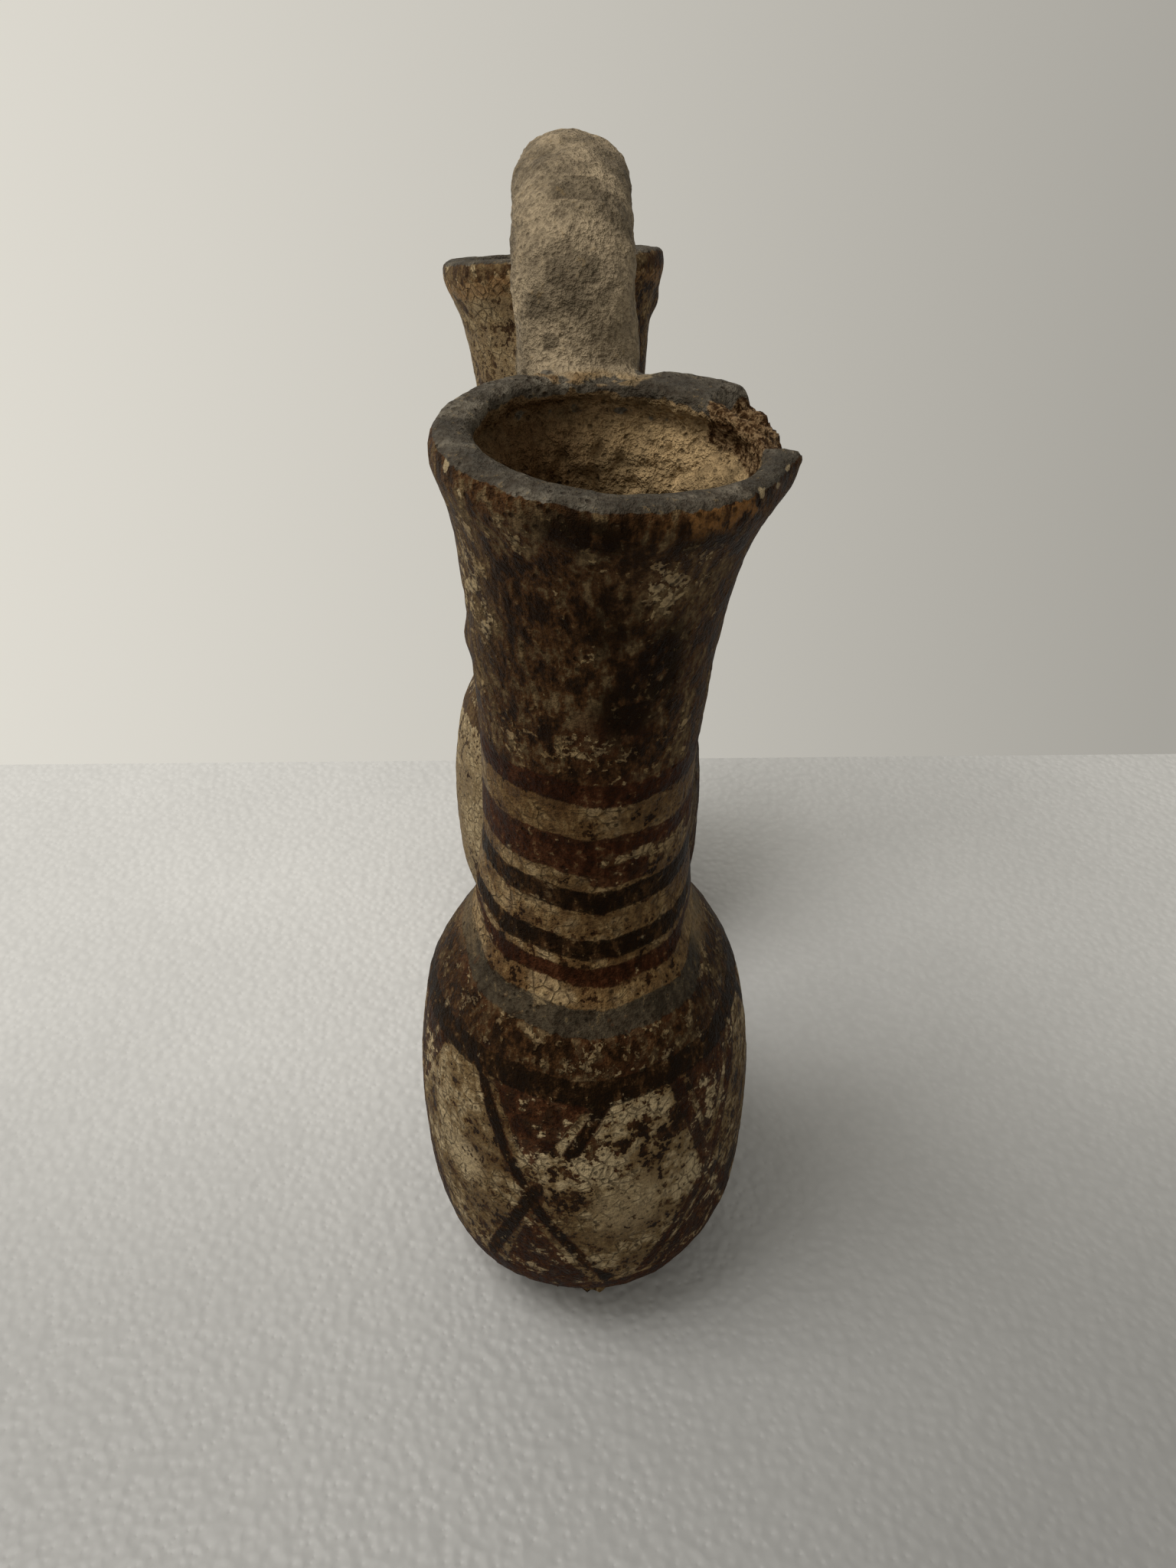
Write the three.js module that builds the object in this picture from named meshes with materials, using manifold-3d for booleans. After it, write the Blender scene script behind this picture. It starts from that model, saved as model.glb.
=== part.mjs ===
// A double pitcher of fired clay, made in one piece: two round-bellied pitchers stand side by side,
// joined by an arched handle between their necks and by a short bridge between their bellies.
// Both are hollow and open. The near pitcher's lip and foot are chipped.
// Millimetres, +Z up. X runs through both pitchers, from the far one (-X) to the near one (+X).
import * as THREE from "three";
import { mergeVertices } from "three/addons/utils/BufferGeometryUtils.js";
import Module from "manifold-3d";

// Outer radii of a pitcher, and the rise of each of them above the one before it.
const FOOT_RADIUS = 28;
const FOOT_ROUNDING = 2.2;
const HEEL_RADIUS = 37.2;
const HEEL_RISE = 16;
const BELLY_RADIUS = 40.2;
const BELLY_RISE = 22;
const SHOULDER_RADIUS = 37.2;
const SHOULDER_RISE = 39;
const NECK_FOOT_RADIUS = 23.6;
const NECK_FOOT_RISE = 36;
const WAIST_RADIUS = 21.6;
const WAIST_RISE = 25;
const THROAT_RADIUS = 25.2;
const THROAT_RISE = 57;
const MOUTH_RADIUS = 29.4;
const FLARE_RISE = 17;

// The clay wall, the floor and the broad rounded lip. The belly is a little longer along X than across.
const WALL = 5.5;
const FLOOR = 7;
const LIP_THICKNESS = 7.2;
const LIP_HEIGHT = 5;
const BELLY_LENGTH_RATIO = 1.07;

// How the two pitchers stand and how their necks lean: outwards, away from each other, and across.
// The necks start to bend at a share of the neck's foot height. Tilts and angles are in degrees.
// The near lip bulges out at its back and, less, at its side.
const PITCHER_SPACING = 123;
const NECK_BEND_START = 0.8;
const NECK_BEND_SOFTNESS = 0.12;
const LIP_SHIFT_SHARE = 0.2;
const BACK_BULGE = { at: 139, spread: 29, size: 7 };
const SIDE_BULGE = { at: 87, spread: 9, size: 2 };
const NEAR = {
  side: 1,
  leanOut: 11.4,
  leanAcross: 2.8,
  lipShift: 1.9,
  lipTiltOut: 4.2,
  lipTiltAcross: 4.7,
  handleY: -0.6,
  turn: 0.4,
  lipBulges: [BACK_BULGE, SIDE_BULGE],
};
const FAR = {
  side: -1,
  leanOut: 9.6,
  leanAcross: -6.2,
  lipShift: 0,
  lipTiltOut: 8.8,
  lipTiltAcross: -3.6,
  handleY: -3.4,
  turn: 2.1,
  lipBulges: [],
};

// The slight unevenness of a hand-built wall: lobes round the wall, as shares of the radius.
const LOBES = [
  { count: 2, share: 0.009, phase: 0.5, twist: 0.4 },
  { count: 3, share: 0.007, phase: 1.9, twist: -0.9 },
  { count: 5, share: 0.004, phase: 3.1, twist: 1.6 },
];

// The handle, an oval rod that springs from both necks below the lip.
const HANDLE_WIDTH = 24;
const HANDLE_THICKNESS = 19.5;
const HANDLE_RISE = 35.6;
const HANDLE_ROOT_DROP = 21;
const HANDLE_LIP_OVERLAP = 2.5;
const HANDLE_CROWN_Y = -1.6;
const HANDLE_END_SWELL = 0.16;
const HANDLE_SWELL_POWER = 4;

// The bridge, an oval clay strut between the bellies, which flares into their walls.
const BRIDGE_HEIGHT = 46;
const BRIDGE_WAIST_RADIUS = 12.5;
const BRIDGE_END_RADIUS = 19;
const BRIDGE_UPRIGHT_RATIO = 1.15;
const BRIDGE_RINGS = [0, 0.15, 0.31, 0.45, 0.58];
const BRIDGE_FLARE_POWER = 2.5;

// The broken stretch of the near lip, in degrees from +X towards +Y, and the chips on the near foot.
const LIP_BREAK = { from: 96, to: 132, bites: 5, size: 7.5, depth: 3, edge: 3 };
const FOOT_CHIPS = [
  { at: 9, size: 7, depth: 1.5 },
  { at: 24, size: 8, depth: 1.8 },
  { at: 40, size: 6, depth: 1.6 },
];
const BITE_FLATNESS = 0.7;
const BITE_SLIMMEST = 0.8;
const BITE_VARIATION = 0.3;

const ROUND_SEGMENTS = 36;
const WALL_STEPS = 22;
const LIP_STEPS = 4;
const HANDLE_SIDES = 18;
const HANDLE_STEPS = 26;
const BRIDGE_SIDES = 20;
const MERGE_DISTANCE = 0.001;
const HALF_TURN = 180;

const BELLY_HEIGHT = HEEL_RISE + BELLY_RISE;
const SHOULDER_HEIGHT = BELLY_HEIGHT + SHOULDER_RISE;
const NECK_FOOT_HEIGHT = SHOULDER_HEIGHT + NECK_FOOT_RISE;
const WAIST_HEIGHT = NECK_FOOT_HEIGHT + WAIST_RISE;
const THROAT_HEIGHT = WAIST_HEIGHT + THROAT_RISE;
const MOUTH_HEIGHT = THROAT_HEIGHT + FLARE_RISE;

const wasm = await Module();
wasm.setup();

const degrees = THREE.MathUtils.degToRad;

// A closed three.js geometry as a solid. A geometry whose faces point inwards is turned inside out.
function solidOf(geometry) {
  const bare = new THREE.BufferGeometry().setAttribute("position", geometry.getAttribute("position"));
  if (geometry.index) bare.setIndex(geometry.index);
  const merged = mergeVertices(bare, MERGE_DISTANCE);
  const position = merged.getAttribute("position");
  const index = merged.index.array;
  const corners = [];
  let volume = 0;
  for (let i = 0; i < index.length; i += 3) {
    const [a, b, c] = index.slice(i, i + 3);
    if (a === b || b === c || a === c) continue;
    corners.push([a, b, c]);
    const [p, q, r] = [a, b, c].map((k) => new THREE.Vector3().fromBufferAttribute(position, k));
    volume += p.dot(q.cross(r));
  }
  return new wasm.Manifold(new wasm.Mesh({
    numProp: 3,
    vertProperties: new Float32Array(position.array),
    triVerts: new Uint32Array(corners.flatMap(([a, b, c]) => (volume > 0 ? [a, b, c] : [a, c, b]))),
  }));
}

// A solid as a three.js geometry.
function geometryOf(solid) {
  const mesh = solid.getMesh();
  const positions = new Float32Array(mesh.numVert * 3);
  for (let i = 0; i < mesh.numVert; i++) {
    positions.set(mesh.vertProperties.subarray(i * mesh.numProp, i * mesh.numProp + 3), i * 3);
  }
  const geometry = new THREE.BufferGeometry();
  geometry.setAttribute("position", new THREE.BufferAttribute(positions, 3));
  geometry.setIndex(new THREE.BufferAttribute(mesh.triVerts, 1));
  geometry.computeVertexNormals();
  return geometry;
}

// The outside of the wall from the foot to the lip, as a curve of (radius, height).
function outerCurve() {
  return new THREE.CatmullRomCurve3([
    new THREE.Vector3(FOOT_RADIUS, FOOT_ROUNDING, 0),
    new THREE.Vector3(HEEL_RADIUS, HEEL_RISE, 0),
    new THREE.Vector3(BELLY_RADIUS, BELLY_HEIGHT, 0),
    new THREE.Vector3(SHOULDER_RADIUS, SHOULDER_HEIGHT, 0),
    new THREE.Vector3(NECK_FOOT_RADIUS, NECK_FOOT_HEIGHT, 0),
    new THREE.Vector3(WAIST_RADIUS, WAIST_HEIGHT, 0),
    new THREE.Vector3(THROAT_RADIUS, THROAT_HEIGHT, 0),
    new THREE.Vector3(MOUTH_RADIUS, MOUTH_HEIGHT - LIP_HEIGHT, 0),
  ], false, "centripetal");
}

// The outer radius at a height, read off the outer curve.
function outerRadiusAt(height) {
  const points = outerCurve().getSpacedPoints(WALL_STEPS);
  const above = points.findIndex((p) => p.y >= height);
  if (above < 0) return MOUTH_RADIUS;
  if (above === 0) return FOOT_RADIUS;
  const low = points[above - 1];
  const high = points[above];
  return THREE.MathUtils.mapLinear(height, low.y, high.y, low.x, high.x);
}

// The wall's outline moved inwards by a distance, from the floor's height up to the lip.
function insetOutline(distance, floorHeight) {
  const curve = outerCurve();
  const outline = [];
  for (let i = 0; i <= WALL_STEPS; i++) {
    const share = i / WALL_STEPS;
    const point = curve.getPointAt(share);
    const tangent = curve.getTangentAt(share);
    const inner = new THREE.Vector2(point.x - distance * tangent.y, point.y + distance * tangent.x);
    if (inner.y > floorHeight) outline.push(inner);
  }
  outline.unshift(new THREE.Vector2(outline[0].x - distance / 2, floorHeight));
  return outline;
}

// How far the neck's axis stands off the foot's axis at a height: [outwards, across].
function axisShift(pitcher, height) {
  const start = NECK_BEND_START * NECK_FOOT_HEIGHT;
  const share = Math.max(0, (height - start) / (MOUTH_HEIGHT - start));
  const lean = (share * share * (1 + NECK_BEND_SOFTNESS)) / (share + NECK_BEND_SOFTNESS);
  const lipStart = (1 - LIP_SHIFT_SHARE) * MOUTH_HEIGHT;
  const flare = Math.max(0, (height - lipStart) / (MOUTH_HEIGHT - lipStart));
  return [pitcher.leanOut * lean, pitcher.leanAcross * lean + pitcher.lipShift * flare * flare];
}

// A point on the neck's bent axis, in the object's frame.
function axisPoint(pitcher, height) {
  const [out, across] = axisShift(pitcher, height);
  return new THREE.Vector3(pitcher.side * (PITCHER_SPACING / 2 + out), across, height);
}

// Which way the wall's ring at a height faces: along the bent neck, then turning to the lip's own tilt.
function ringNormal(pitcher, height) {
  const step = WALL / 10;
  const along = axisPoint(pitcher, height + step).sub(axisPoint(pitcher, height - step)).normalize();
  const lipNormal = new THREE.Vector3(
    pitcher.side * Math.tan(degrees(pitcher.lipTiltOut)),
    Math.tan(degrees(pitcher.lipTiltAcross)),
    1,
  ).normalize();
  return along.lerp(lipNormal, THREE.MathUtils.smoothstep(height, WAIST_HEIGHT, MOUTH_HEIGHT)).normalize();
}

// How much further out than a circle the lip's edge stands at an angle.
function lipBulge(pitcher, angle) {
  return pitcher.lipBulges.reduce((sum, { at, spread, size }) => {
    const away = THREE.MathUtils.euclideanModulo(
      THREE.MathUtils.radToDeg(angle) - at + HALF_TURN,
      2 * HALF_TURN,
    ) - HALF_TURN;
    return sum + size * Math.exp(-((away / spread) ** 2));
  }, 0);
}

// Turns an upright shape of revolution into this pitcher: its oval belly, uneven wall and leaning neck.
function shapePitcher(geometry, pitcher) {
  const position = geometry.getAttribute("position");
  const up = new THREE.Vector3(0, 0, 1);
  const { smoothstep } = THREE.MathUtils;
  for (let i = 0; i < position.count; i++) {
    const at = new THREE.Vector3().fromBufferAttribute(position, i);
    const angle = Math.atan2(at.y, at.x);
    const radius = Math.hypot(at.x, at.y);
    const belly = 1 - smoothstep(at.z, SHOULDER_HEIGHT, NECK_FOOT_HEIGHT);
    const flare = smoothstep(at.z, THROAT_HEIGHT, MOUTH_HEIGHT);
    const outside = smoothstep(radius, MOUTH_RADIUS - LIP_THICKNESS, MOUTH_RADIUS);
    const uneven = LOBES.reduce((sum, { count, share, phase, twist }) => {
      return sum + share * Math.sin(count * (angle + pitcher.turn) + phase + (twist * at.z) / BELLY_HEIGHT);
    }, 1);
    const reach = radius * uneven + lipBulge(pitcher, angle) * flare * outside;
    const length = 1 + (BELLY_LENGTH_RATIO - 1) * belly;
    const ring = new THREE.Vector3(reach * Math.cos(angle) * length, reach * Math.sin(angle), 0);
    ring.applyQuaternion(new THREE.Quaternion().setFromUnitVectors(up, ringNormal(pitcher, at.z)));
    ring.add(axisPoint(pitcher, at.z));
    position.setXYZ(i, ring.x, ring.y, ring.z);
  }
  return geometry;
}

// A solid of revolution with an outline of (radius, height), shaped as this pitcher.
function lathe(outline, pitcher) {
  const turned = new THREE.LatheGeometry(outline, ROUND_SEGMENTS).rotateX(Math.PI / 2);
  return solidOf(shapePitcher(turned, pitcher));
}

// One pitcher's wall: outside, rounded lip, inside and floor, as a single closed outline.
function wallOf(pitcher) {
  const outside = outerCurve().getSpacedPoints(WALL_STEPS).map((p) => new THREE.Vector2(p.x, p.y));
  const inside = insetOutline(WALL, FLOOR).reverse();
  const lipStart = outside[outside.length - 1];
  const lipEnd = new THREE.Vector2(MOUTH_RADIUS - LIP_THICKNESS, lipStart.y);
  const lip = [];
  for (let i = 1; i <= LIP_STEPS; i++) {
    const angle = (Math.PI * i) / (LIP_STEPS + 1);
    lip.push(new THREE.Vector2(
      THREE.MathUtils.mapLinear(Math.cos(angle), 1, -1, lipStart.x, lipEnd.x),
      lipStart.y + LIP_HEIGHT * Math.sin(angle),
    ));
  }
  const belowLip = inside.filter((p) => p.y < lipEnd.y - WALL / 2);
  return lathe([
    new THREE.Vector2(0, 0),
    new THREE.Vector2(FOOT_RADIUS - FOOT_ROUNDING, 0),
    ...outside,
    ...lip,
    lipEnd,
    ...belowLip,
    new THREE.Vector2(0, FLOOR),
  ], pitcher);
}

// A plug that fills a pitcher up to the middle of its wall, so that what is joined on ends inside the clay.
function plugOf(pitcher) {
  const outline = insetOutline(WALL / 2, FLOOR / 2);
  const top = outline[outline.length - 1];
  return lathe([
    new THREE.Vector2(0, FLOOR / 2),
    ...outline,
    new THREE.Vector2(top.x, MOUTH_HEIGHT + HANDLE_RISE),
    new THREE.Vector2(0, MOUTH_HEIGHT + HANDLE_RISE),
  ], pitcher);
}

// The centres of the handle's section at one end: inside the neck, in its wall and beside its lip.
function handleEnd(pitcher) {
  const rootHeight = MOUTH_HEIGHT - HANDLE_ROOT_DROP;
  const inside = axisPoint(pitcher, rootHeight - HANDLE_THICKNESS / 4);
  const root = axisPoint(pitcher, rootHeight);
  root.x -= pitcher.side * (outerRadiusAt(rootHeight) - WALL / 2);
  const passing = axisPoint(pitcher, MOUTH_HEIGHT);
  passing.x -= pitcher.side * (MOUTH_RADIUS + HANDLE_THICKNESS / 2 - HANDLE_LIP_OVERLAP);
  for (const point of [inside, root, passing]) point.y = pitcher.handleY;
  return { inside, root, passing };
}

// The handle's centreline: from one neck up past its lip, over a half-ellipse and down to the other.
function handlePath() {
  const near = handleEnd(NEAR);
  const far = handleEnd(FAR);
  const centreX = (near.passing.x + far.passing.x) / 2;
  const halfSpan = (near.passing.x - far.passing.x) / 2;
  const rise = HANDLE_RISE - HANDLE_THICKNESS / 2;
  const arch = [];
  for (const angle of [0, 30, 60, 90, 120, 150, HALF_TURN].map(degrees)) {
    const end = Math.cos(angle) >= 0 ? near.passing.y : far.passing.y;
    arch.push(new THREE.Vector3(
      centreX + halfSpan * Math.cos(angle),
      THREE.MathUtils.lerp(end, HANDLE_CROWN_Y, Math.sin(angle)),
      MOUTH_HEIGHT + rise * Math.sin(angle),
    ));
  }
  const stops = [near.inside, near.root, ...arch, far.root, far.inside];
  return new THREE.CatmullRomCurve3(stops, false, "centripetal");
}

// An oval rod along a path, swollen a little at both ends where the clay was smeared on.
function handleSolid() {
  const path = handlePath();
  const section = new THREE.Shape();
  for (let i = 0; i < HANDLE_SIDES; i++) {
    const angle = (2 * Math.PI * i) / HANDLE_SIDES;
    const corner = [(HANDLE_WIDTH / 2) * Math.cos(angle), (HANDLE_THICKNESS / 2) * Math.sin(angle)];
    if (i === 0) section.moveTo(...corner);
    else section.lineTo(...corner);
  }
  const along = { steps: HANDLE_STEPS, extrudePath: path, bevelEnabled: false };
  const rod = new THREE.ExtrudeGeometry(section, along);
  const position = rod.getAttribute("position");
  const stations = path.getSpacedPoints(HANDLE_STEPS);
  for (let i = 0; i < position.count; i++) {
    const at = new THREE.Vector3().fromBufferAttribute(position, i);
    const nearest = stations.reduce(
      (best, station, k) => (station.distanceTo(at) < stations[best].distanceTo(at) ? k : best),
      0,
    );
    const towardsEnd = Math.abs((2 * nearest) / HANDLE_STEPS - 1);
    const swell = 1 + HANDLE_END_SWELL * towardsEnd ** HANDLE_SWELL_POWER;
    const moved = at.sub(stations[nearest]).multiplyScalar(swell).add(stations[nearest]);
    position.setXYZ(i, moved.x, moved.y, moved.z);
  }
  return solidOf(rod);
}

// The strut between the bellies, waisted in the middle. Its ends reach into the hollows.
function bridgeSolid() {
  const reach = PITCHER_SPACING / 2 - BELLY_RADIUS / 2;
  const flareEnd = BRIDGE_RINGS[BRIDGE_RINGS.length - 1];
  const half = BRIDGE_RINGS.map((share) => {
    const flare = (share / flareEnd) ** BRIDGE_FLARE_POWER;
    const radius = THREE.MathUtils.lerp(BRIDGE_WAIST_RADIUS, BRIDGE_END_RADIUS, flare);
    return new THREE.Vector2(radius, share * reach);
  });
  half.push(new THREE.Vector2(BRIDGE_END_RADIUS, reach), new THREE.Vector2(0, reach));
  const otherHalf = half.slice(1).reverse().map((p) => new THREE.Vector2(p.x, -p.y));
  const strut = new THREE.LatheGeometry([...otherHalf, ...half], BRIDGE_SIDES)
    .rotateZ(Math.PI / 2)
    .scale(1, 1, BRIDGE_UPRIGHT_RATIO)
    .translate(0, 0, BRIDGE_HEIGHT);
  return solidOf(strut);
}

// A rough lump that is taken out of the clay, turned differently at each place.
function bite(centre, size, turn) {
  const lump = new THREE.IcosahedronGeometry(size, 1);
  lump.rotateX(turn).rotateY(2 * turn).rotateZ(3 * turn);
  lump.scale(1, BITE_SLIMMEST + BITE_VARIATION * Math.sin(turn) ** 2, BITE_FLATNESS);
  return solidOf(lump.translate(centre.x, centre.y, centre.z));
}

// The bites along the broken stretch of the near pitcher's lip.
function lipBites() {
  const bites = [];
  for (let i = 0; i < LIP_BREAK.bites; i++) {
    const share = i / (LIP_BREAK.bites - 1);
    const angle = degrees(THREE.MathUtils.lerp(LIP_BREAK.from, LIP_BREAK.to, share));
    const distance = MOUTH_RADIUS + lipBulge(NEAR, angle) - LIP_BREAK.edge;
    const offset = new THREE.Vector3(distance * Math.cos(angle), distance * Math.sin(angle), 0);
    const normal = ringNormal(NEAR, MOUTH_HEIGHT);
    offset.applyQuaternion(new THREE.Quaternion().setFromUnitVectors(new THREE.Vector3(0, 0, 1), normal));
    offset.addScaledVector(normal, BITE_FLATNESS * LIP_BREAK.size - LIP_BREAK.depth);
    bites.push(bite(axisPoint(NEAR, MOUTH_HEIGHT).add(offset), LIP_BREAK.size, i));
  }
  return bites;
}

// The bites out of the near pitcher's foot.
function footBites() {
  return FOOT_CHIPS.map(({ at, size, depth }, i) => {
    const angle = degrees(at);
    const distance = FOOT_RADIUS + size - depth;
    const centre = axisPoint(NEAR, 0);
    centre.x += distance * Math.cos(angle) * BELLY_LENGTH_RATIO;
    centre.y += distance * Math.sin(angle);
    return bite(centre, size, at);
  });
}

// The whole vessel: the handle and the bridge end in the pitchers' walls and leave the hollows free.
function doublePitcher() {
  const plugs = wasm.Manifold.union([plugOf(NEAR), plugOf(FAR)]);
  const joins = wasm.Manifold.union([handleSolid(), bridgeSolid()]).subtract(plugs);
  const whole = wasm.Manifold.union([wallOf(NEAR), wallOf(FAR), joins]);
  const broken = whole.subtract(wasm.Manifold.union([...lipBites(), ...footBites()]));
  return geometryOf(broken);
}

const firedClay = new THREE.MeshStandardMaterial({ color: 0x6b5540, roughness: 0.72, metalness: 0 });
const pitcher = new THREE.Mesh(doublePitcher(), firedClay);
pitcher.name = "double_pitcher";

// The origin is at the middle of the bounding box's underside.
const bounds = new THREE.Box3().setFromObject(pitcher);
const middle = bounds.getCenter(new THREE.Vector3());
pitcher.position.set(-middle.x, -middle.y, -bounds.min.z);

const object = new THREE.Group();
object.add(pitcher);

export default object;
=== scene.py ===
"""An old double pitcher of fired, painted clay, with its floor, light and camera.

Two round-bellied pitchers with leaning necks are made in one piece with an arched handle between the
necks and a short bridge between the bellies. The clay is built up ring by ring, joined, worn by hand
and painted with bands, hourglasses and cream panels. Metres, +Z up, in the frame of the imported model.
"""

import math
from functools import reduce

import bpy
import numpy as np
from bpy.props import FloatProperty, FloatVectorProperty, PointerProperty
from bpy.types import Operator, Panel, PropertyGroup
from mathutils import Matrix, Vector, noise


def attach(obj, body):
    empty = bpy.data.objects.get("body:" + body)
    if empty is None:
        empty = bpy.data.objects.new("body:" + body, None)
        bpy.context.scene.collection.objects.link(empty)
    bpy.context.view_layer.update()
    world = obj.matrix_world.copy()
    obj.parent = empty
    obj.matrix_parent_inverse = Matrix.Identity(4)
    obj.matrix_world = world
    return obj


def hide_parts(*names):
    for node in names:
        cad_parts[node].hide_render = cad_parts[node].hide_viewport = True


bl_info = {
    "name": "Double Pitcher",
    "version": (1, 0, 0),
    "blender": (4, 5, 0),
    "location": "View3D > Sidebar > Double Pitcher",
    "description": "Builds an old painted clay double pitcher with its floor, light and camera",
    "category": "Add Mesh",
}

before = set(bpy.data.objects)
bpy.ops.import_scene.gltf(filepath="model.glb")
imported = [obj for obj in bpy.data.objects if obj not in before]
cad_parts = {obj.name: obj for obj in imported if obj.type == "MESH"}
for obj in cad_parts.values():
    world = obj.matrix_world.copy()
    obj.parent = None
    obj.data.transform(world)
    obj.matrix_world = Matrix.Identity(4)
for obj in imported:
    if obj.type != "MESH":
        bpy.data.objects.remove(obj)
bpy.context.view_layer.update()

MM = 0.001
NODE = "double_pitcher"

# The middle of both feet's line stands this far from the frame's origin.
FRAME_SHIFT = np.array((-0.000679, 0.00035, 0.0))

# How each pitcher leans and how its lip is tilted, in metres and degrees. The turn, in radians, sets
# its unevenness apart from the other one's. Bulges of the lip are (angle, spread, size).
NEAR = {
    "side": 1,
    "lean_out": 0.0114,
    "lean_across": 0.0028,
    "lip_shift": 0.0019,
    "lip_tilt_out": 4.2,
    "lip_tilt_across": 4.7,
    "handle_y": -0.0006,
    "turn": 0.4,
    "bulges": [(139, 29, 0.007), (87, 9, 0.002)],
}
FAR = {
    "side": -1,
    "lean_out": 0.0096,
    "lean_across": -0.0062,
    "lip_shift": 0.0,
    "lip_tilt_out": 8.8,
    "lip_tilt_across": -3.6,
    "handle_y": -0.0034,
    "turn": 2.1,
    "bulges": [],
}
# A pitcher's axis starts to bend at this share of the height of its neck's foot, softly at first.
NECK_BEND_START = 0.8
NECK_BEND_SOFTNESS = 0.12
# The lip is shifted across over this share of the whole height.
LIP_SHIFT_SHARE = 0.2

# The slow unevenness of the hand-built wall: lobes as (count, share of the radius, phase, twist).
LOBES = [(2, 0.009, 0.5, 0.4), (3, 0.007, 1.9, -0.9), (5, 0.004, 3.1, 1.6)]

# The place of the handle's crown along Y, how much thicker its ends are, and the arch's stops in
# degrees.
HANDLE_CROWN_Y = -0.0016
HANDLE_END_SWELL = 0.16
HANDLE_SWELL_POWER = 4
ARCH_STEP = 30
# The bridge's rings, as shares of the way from its middle to its end inside the belly.
BRIDGE_RINGS = (0, 0.15, 0.31, 0.45, 0.58)
BRIDGE_FLARE_POWER = 2.5

# How finely the solids are built, before the clay is joined on its grid.
ROUND_SIDES = 96
WALL_STEPS = 48
LIP_STEPS = 14
HANDLE_SIDES = 40
HANDLE_STEPS = 60
BRIDGE_STEPS = 40
# At 1 the lip is round, and the smaller this is, the squarer.
LIP_SQUARENESS = 0.4
# How many points a curve gets between two stops, and an outline on which a radius is looked up.
CURVE_POINTS = 60
OUTLINE_POINTS = 240
# How often a point's height on the bent axis is improved.
HEIGHT_ROUNDS = 8


def length(name, default, description):
    """A size in metres."""
    return FloatProperty(name=name, description=description, default=default, unit="LENGTH", precision=4)


def number(name, default, description):
    """A plain number."""
    return FloatProperty(name=name, description=description, default=default, min=0.0)


def colour(name, default, description):
    """A linear colour."""
    return FloatVectorProperty(
        name=name, description=description, default=default, subtype="COLOR", size=3, min=0.0, max=1.0
    )


class DP_VesselSettings(PropertyGroup):
    """The sizes of one pitcher, which both share, and how far apart they stand."""

    foot_radius: length("Foot radius", 0.028, "Radius of the flat foot")
    foot_rounding: length("Foot rounding", 0.0022, "Height of the rounding above the foot")
    heel_radius: length("Heel radius", 0.0372, "Radius where the belly starts")
    heel_height: length("Heel height", 0.016, "Height where the belly starts")
    belly_radius: length("Belly radius", 0.0402, "Radius of the belly at its widest")
    belly_height: length("Belly height", 0.038, "Height of the belly's widest ring")
    shoulder_radius: length("Shoulder radius", 0.0372, "Radius where the shoulder starts to close")
    shoulder_height: length("Shoulder height", 0.077, "Height where the shoulder starts to close")
    neck_foot_radius: length("Neck foot radius", 0.0236, "Radius at the foot of the neck")
    neck_foot_height: length("Neck foot height", 0.113, "Height of the foot of the neck")
    waist_radius: length("Waist radius", 0.0216, "Radius of the neck at its slimmest")
    waist_height: length("Waist height", 0.138, "Height of the neck's slimmest ring")
    throat_radius: length("Throat radius", 0.0252, "Radius below the flare of the mouth")
    throat_height: length("Throat height", 0.195, "Height where the mouth starts to flare")
    mouth_radius: length("Mouth radius", 0.0294, "Outer radius of the mouth")
    mouth_height: length("Mouth height", 0.212, "Height of the top of the lip")
    wall: length("Wall", 0.0055, "Thickness of the clay wall")
    floor: length("Floor", 0.007, "Thickness of the floor inside")
    lip_thickness: length("Lip thickness", 0.0072, "Thickness of the rounded lip")
    lip_height: length("Lip height", 0.005, "Height of the rounded lip")
    spacing: length("Spacing", 0.123, "Distance between the middles of both feet")
    grain: length("Grain", 0.00115, "Size of the grid on which the clay is joined")
    belly_length: number("Belly length", 1.07, "How much longer than wide the belly is")


class DP_HandleSettings(PropertyGroup):
    """The sizes of the handle and of the bridge between the bellies."""

    width: length("Handle width", 0.024, "Width of the handle")
    thickness: length("Handle thickness", 0.0195, "Thickness of the handle from top to bottom")
    rise: length("Handle rise", 0.0356, "Height of the handle's crown above the lips")
    root_drop: length("Root drop", 0.021, "How far below the lips the handle springs from the necks")
    lip_overlap: length("Lip overlap", 0.0025, "How deep the handle is sunk into the lips")
    bridge_height: length("Bridge height", 0.046, "Height of the bridge's middle")
    bridge_waist: length("Bridge waist", 0.0125, "Radius of the bridge in its middle")
    bridge_end: length("Bridge end", 0.019, "Radius of the bridge where it meets the bellies")
    bridge_upright: number("Bridge upright", 1.15, "How much taller than wide the bridge is")


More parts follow.
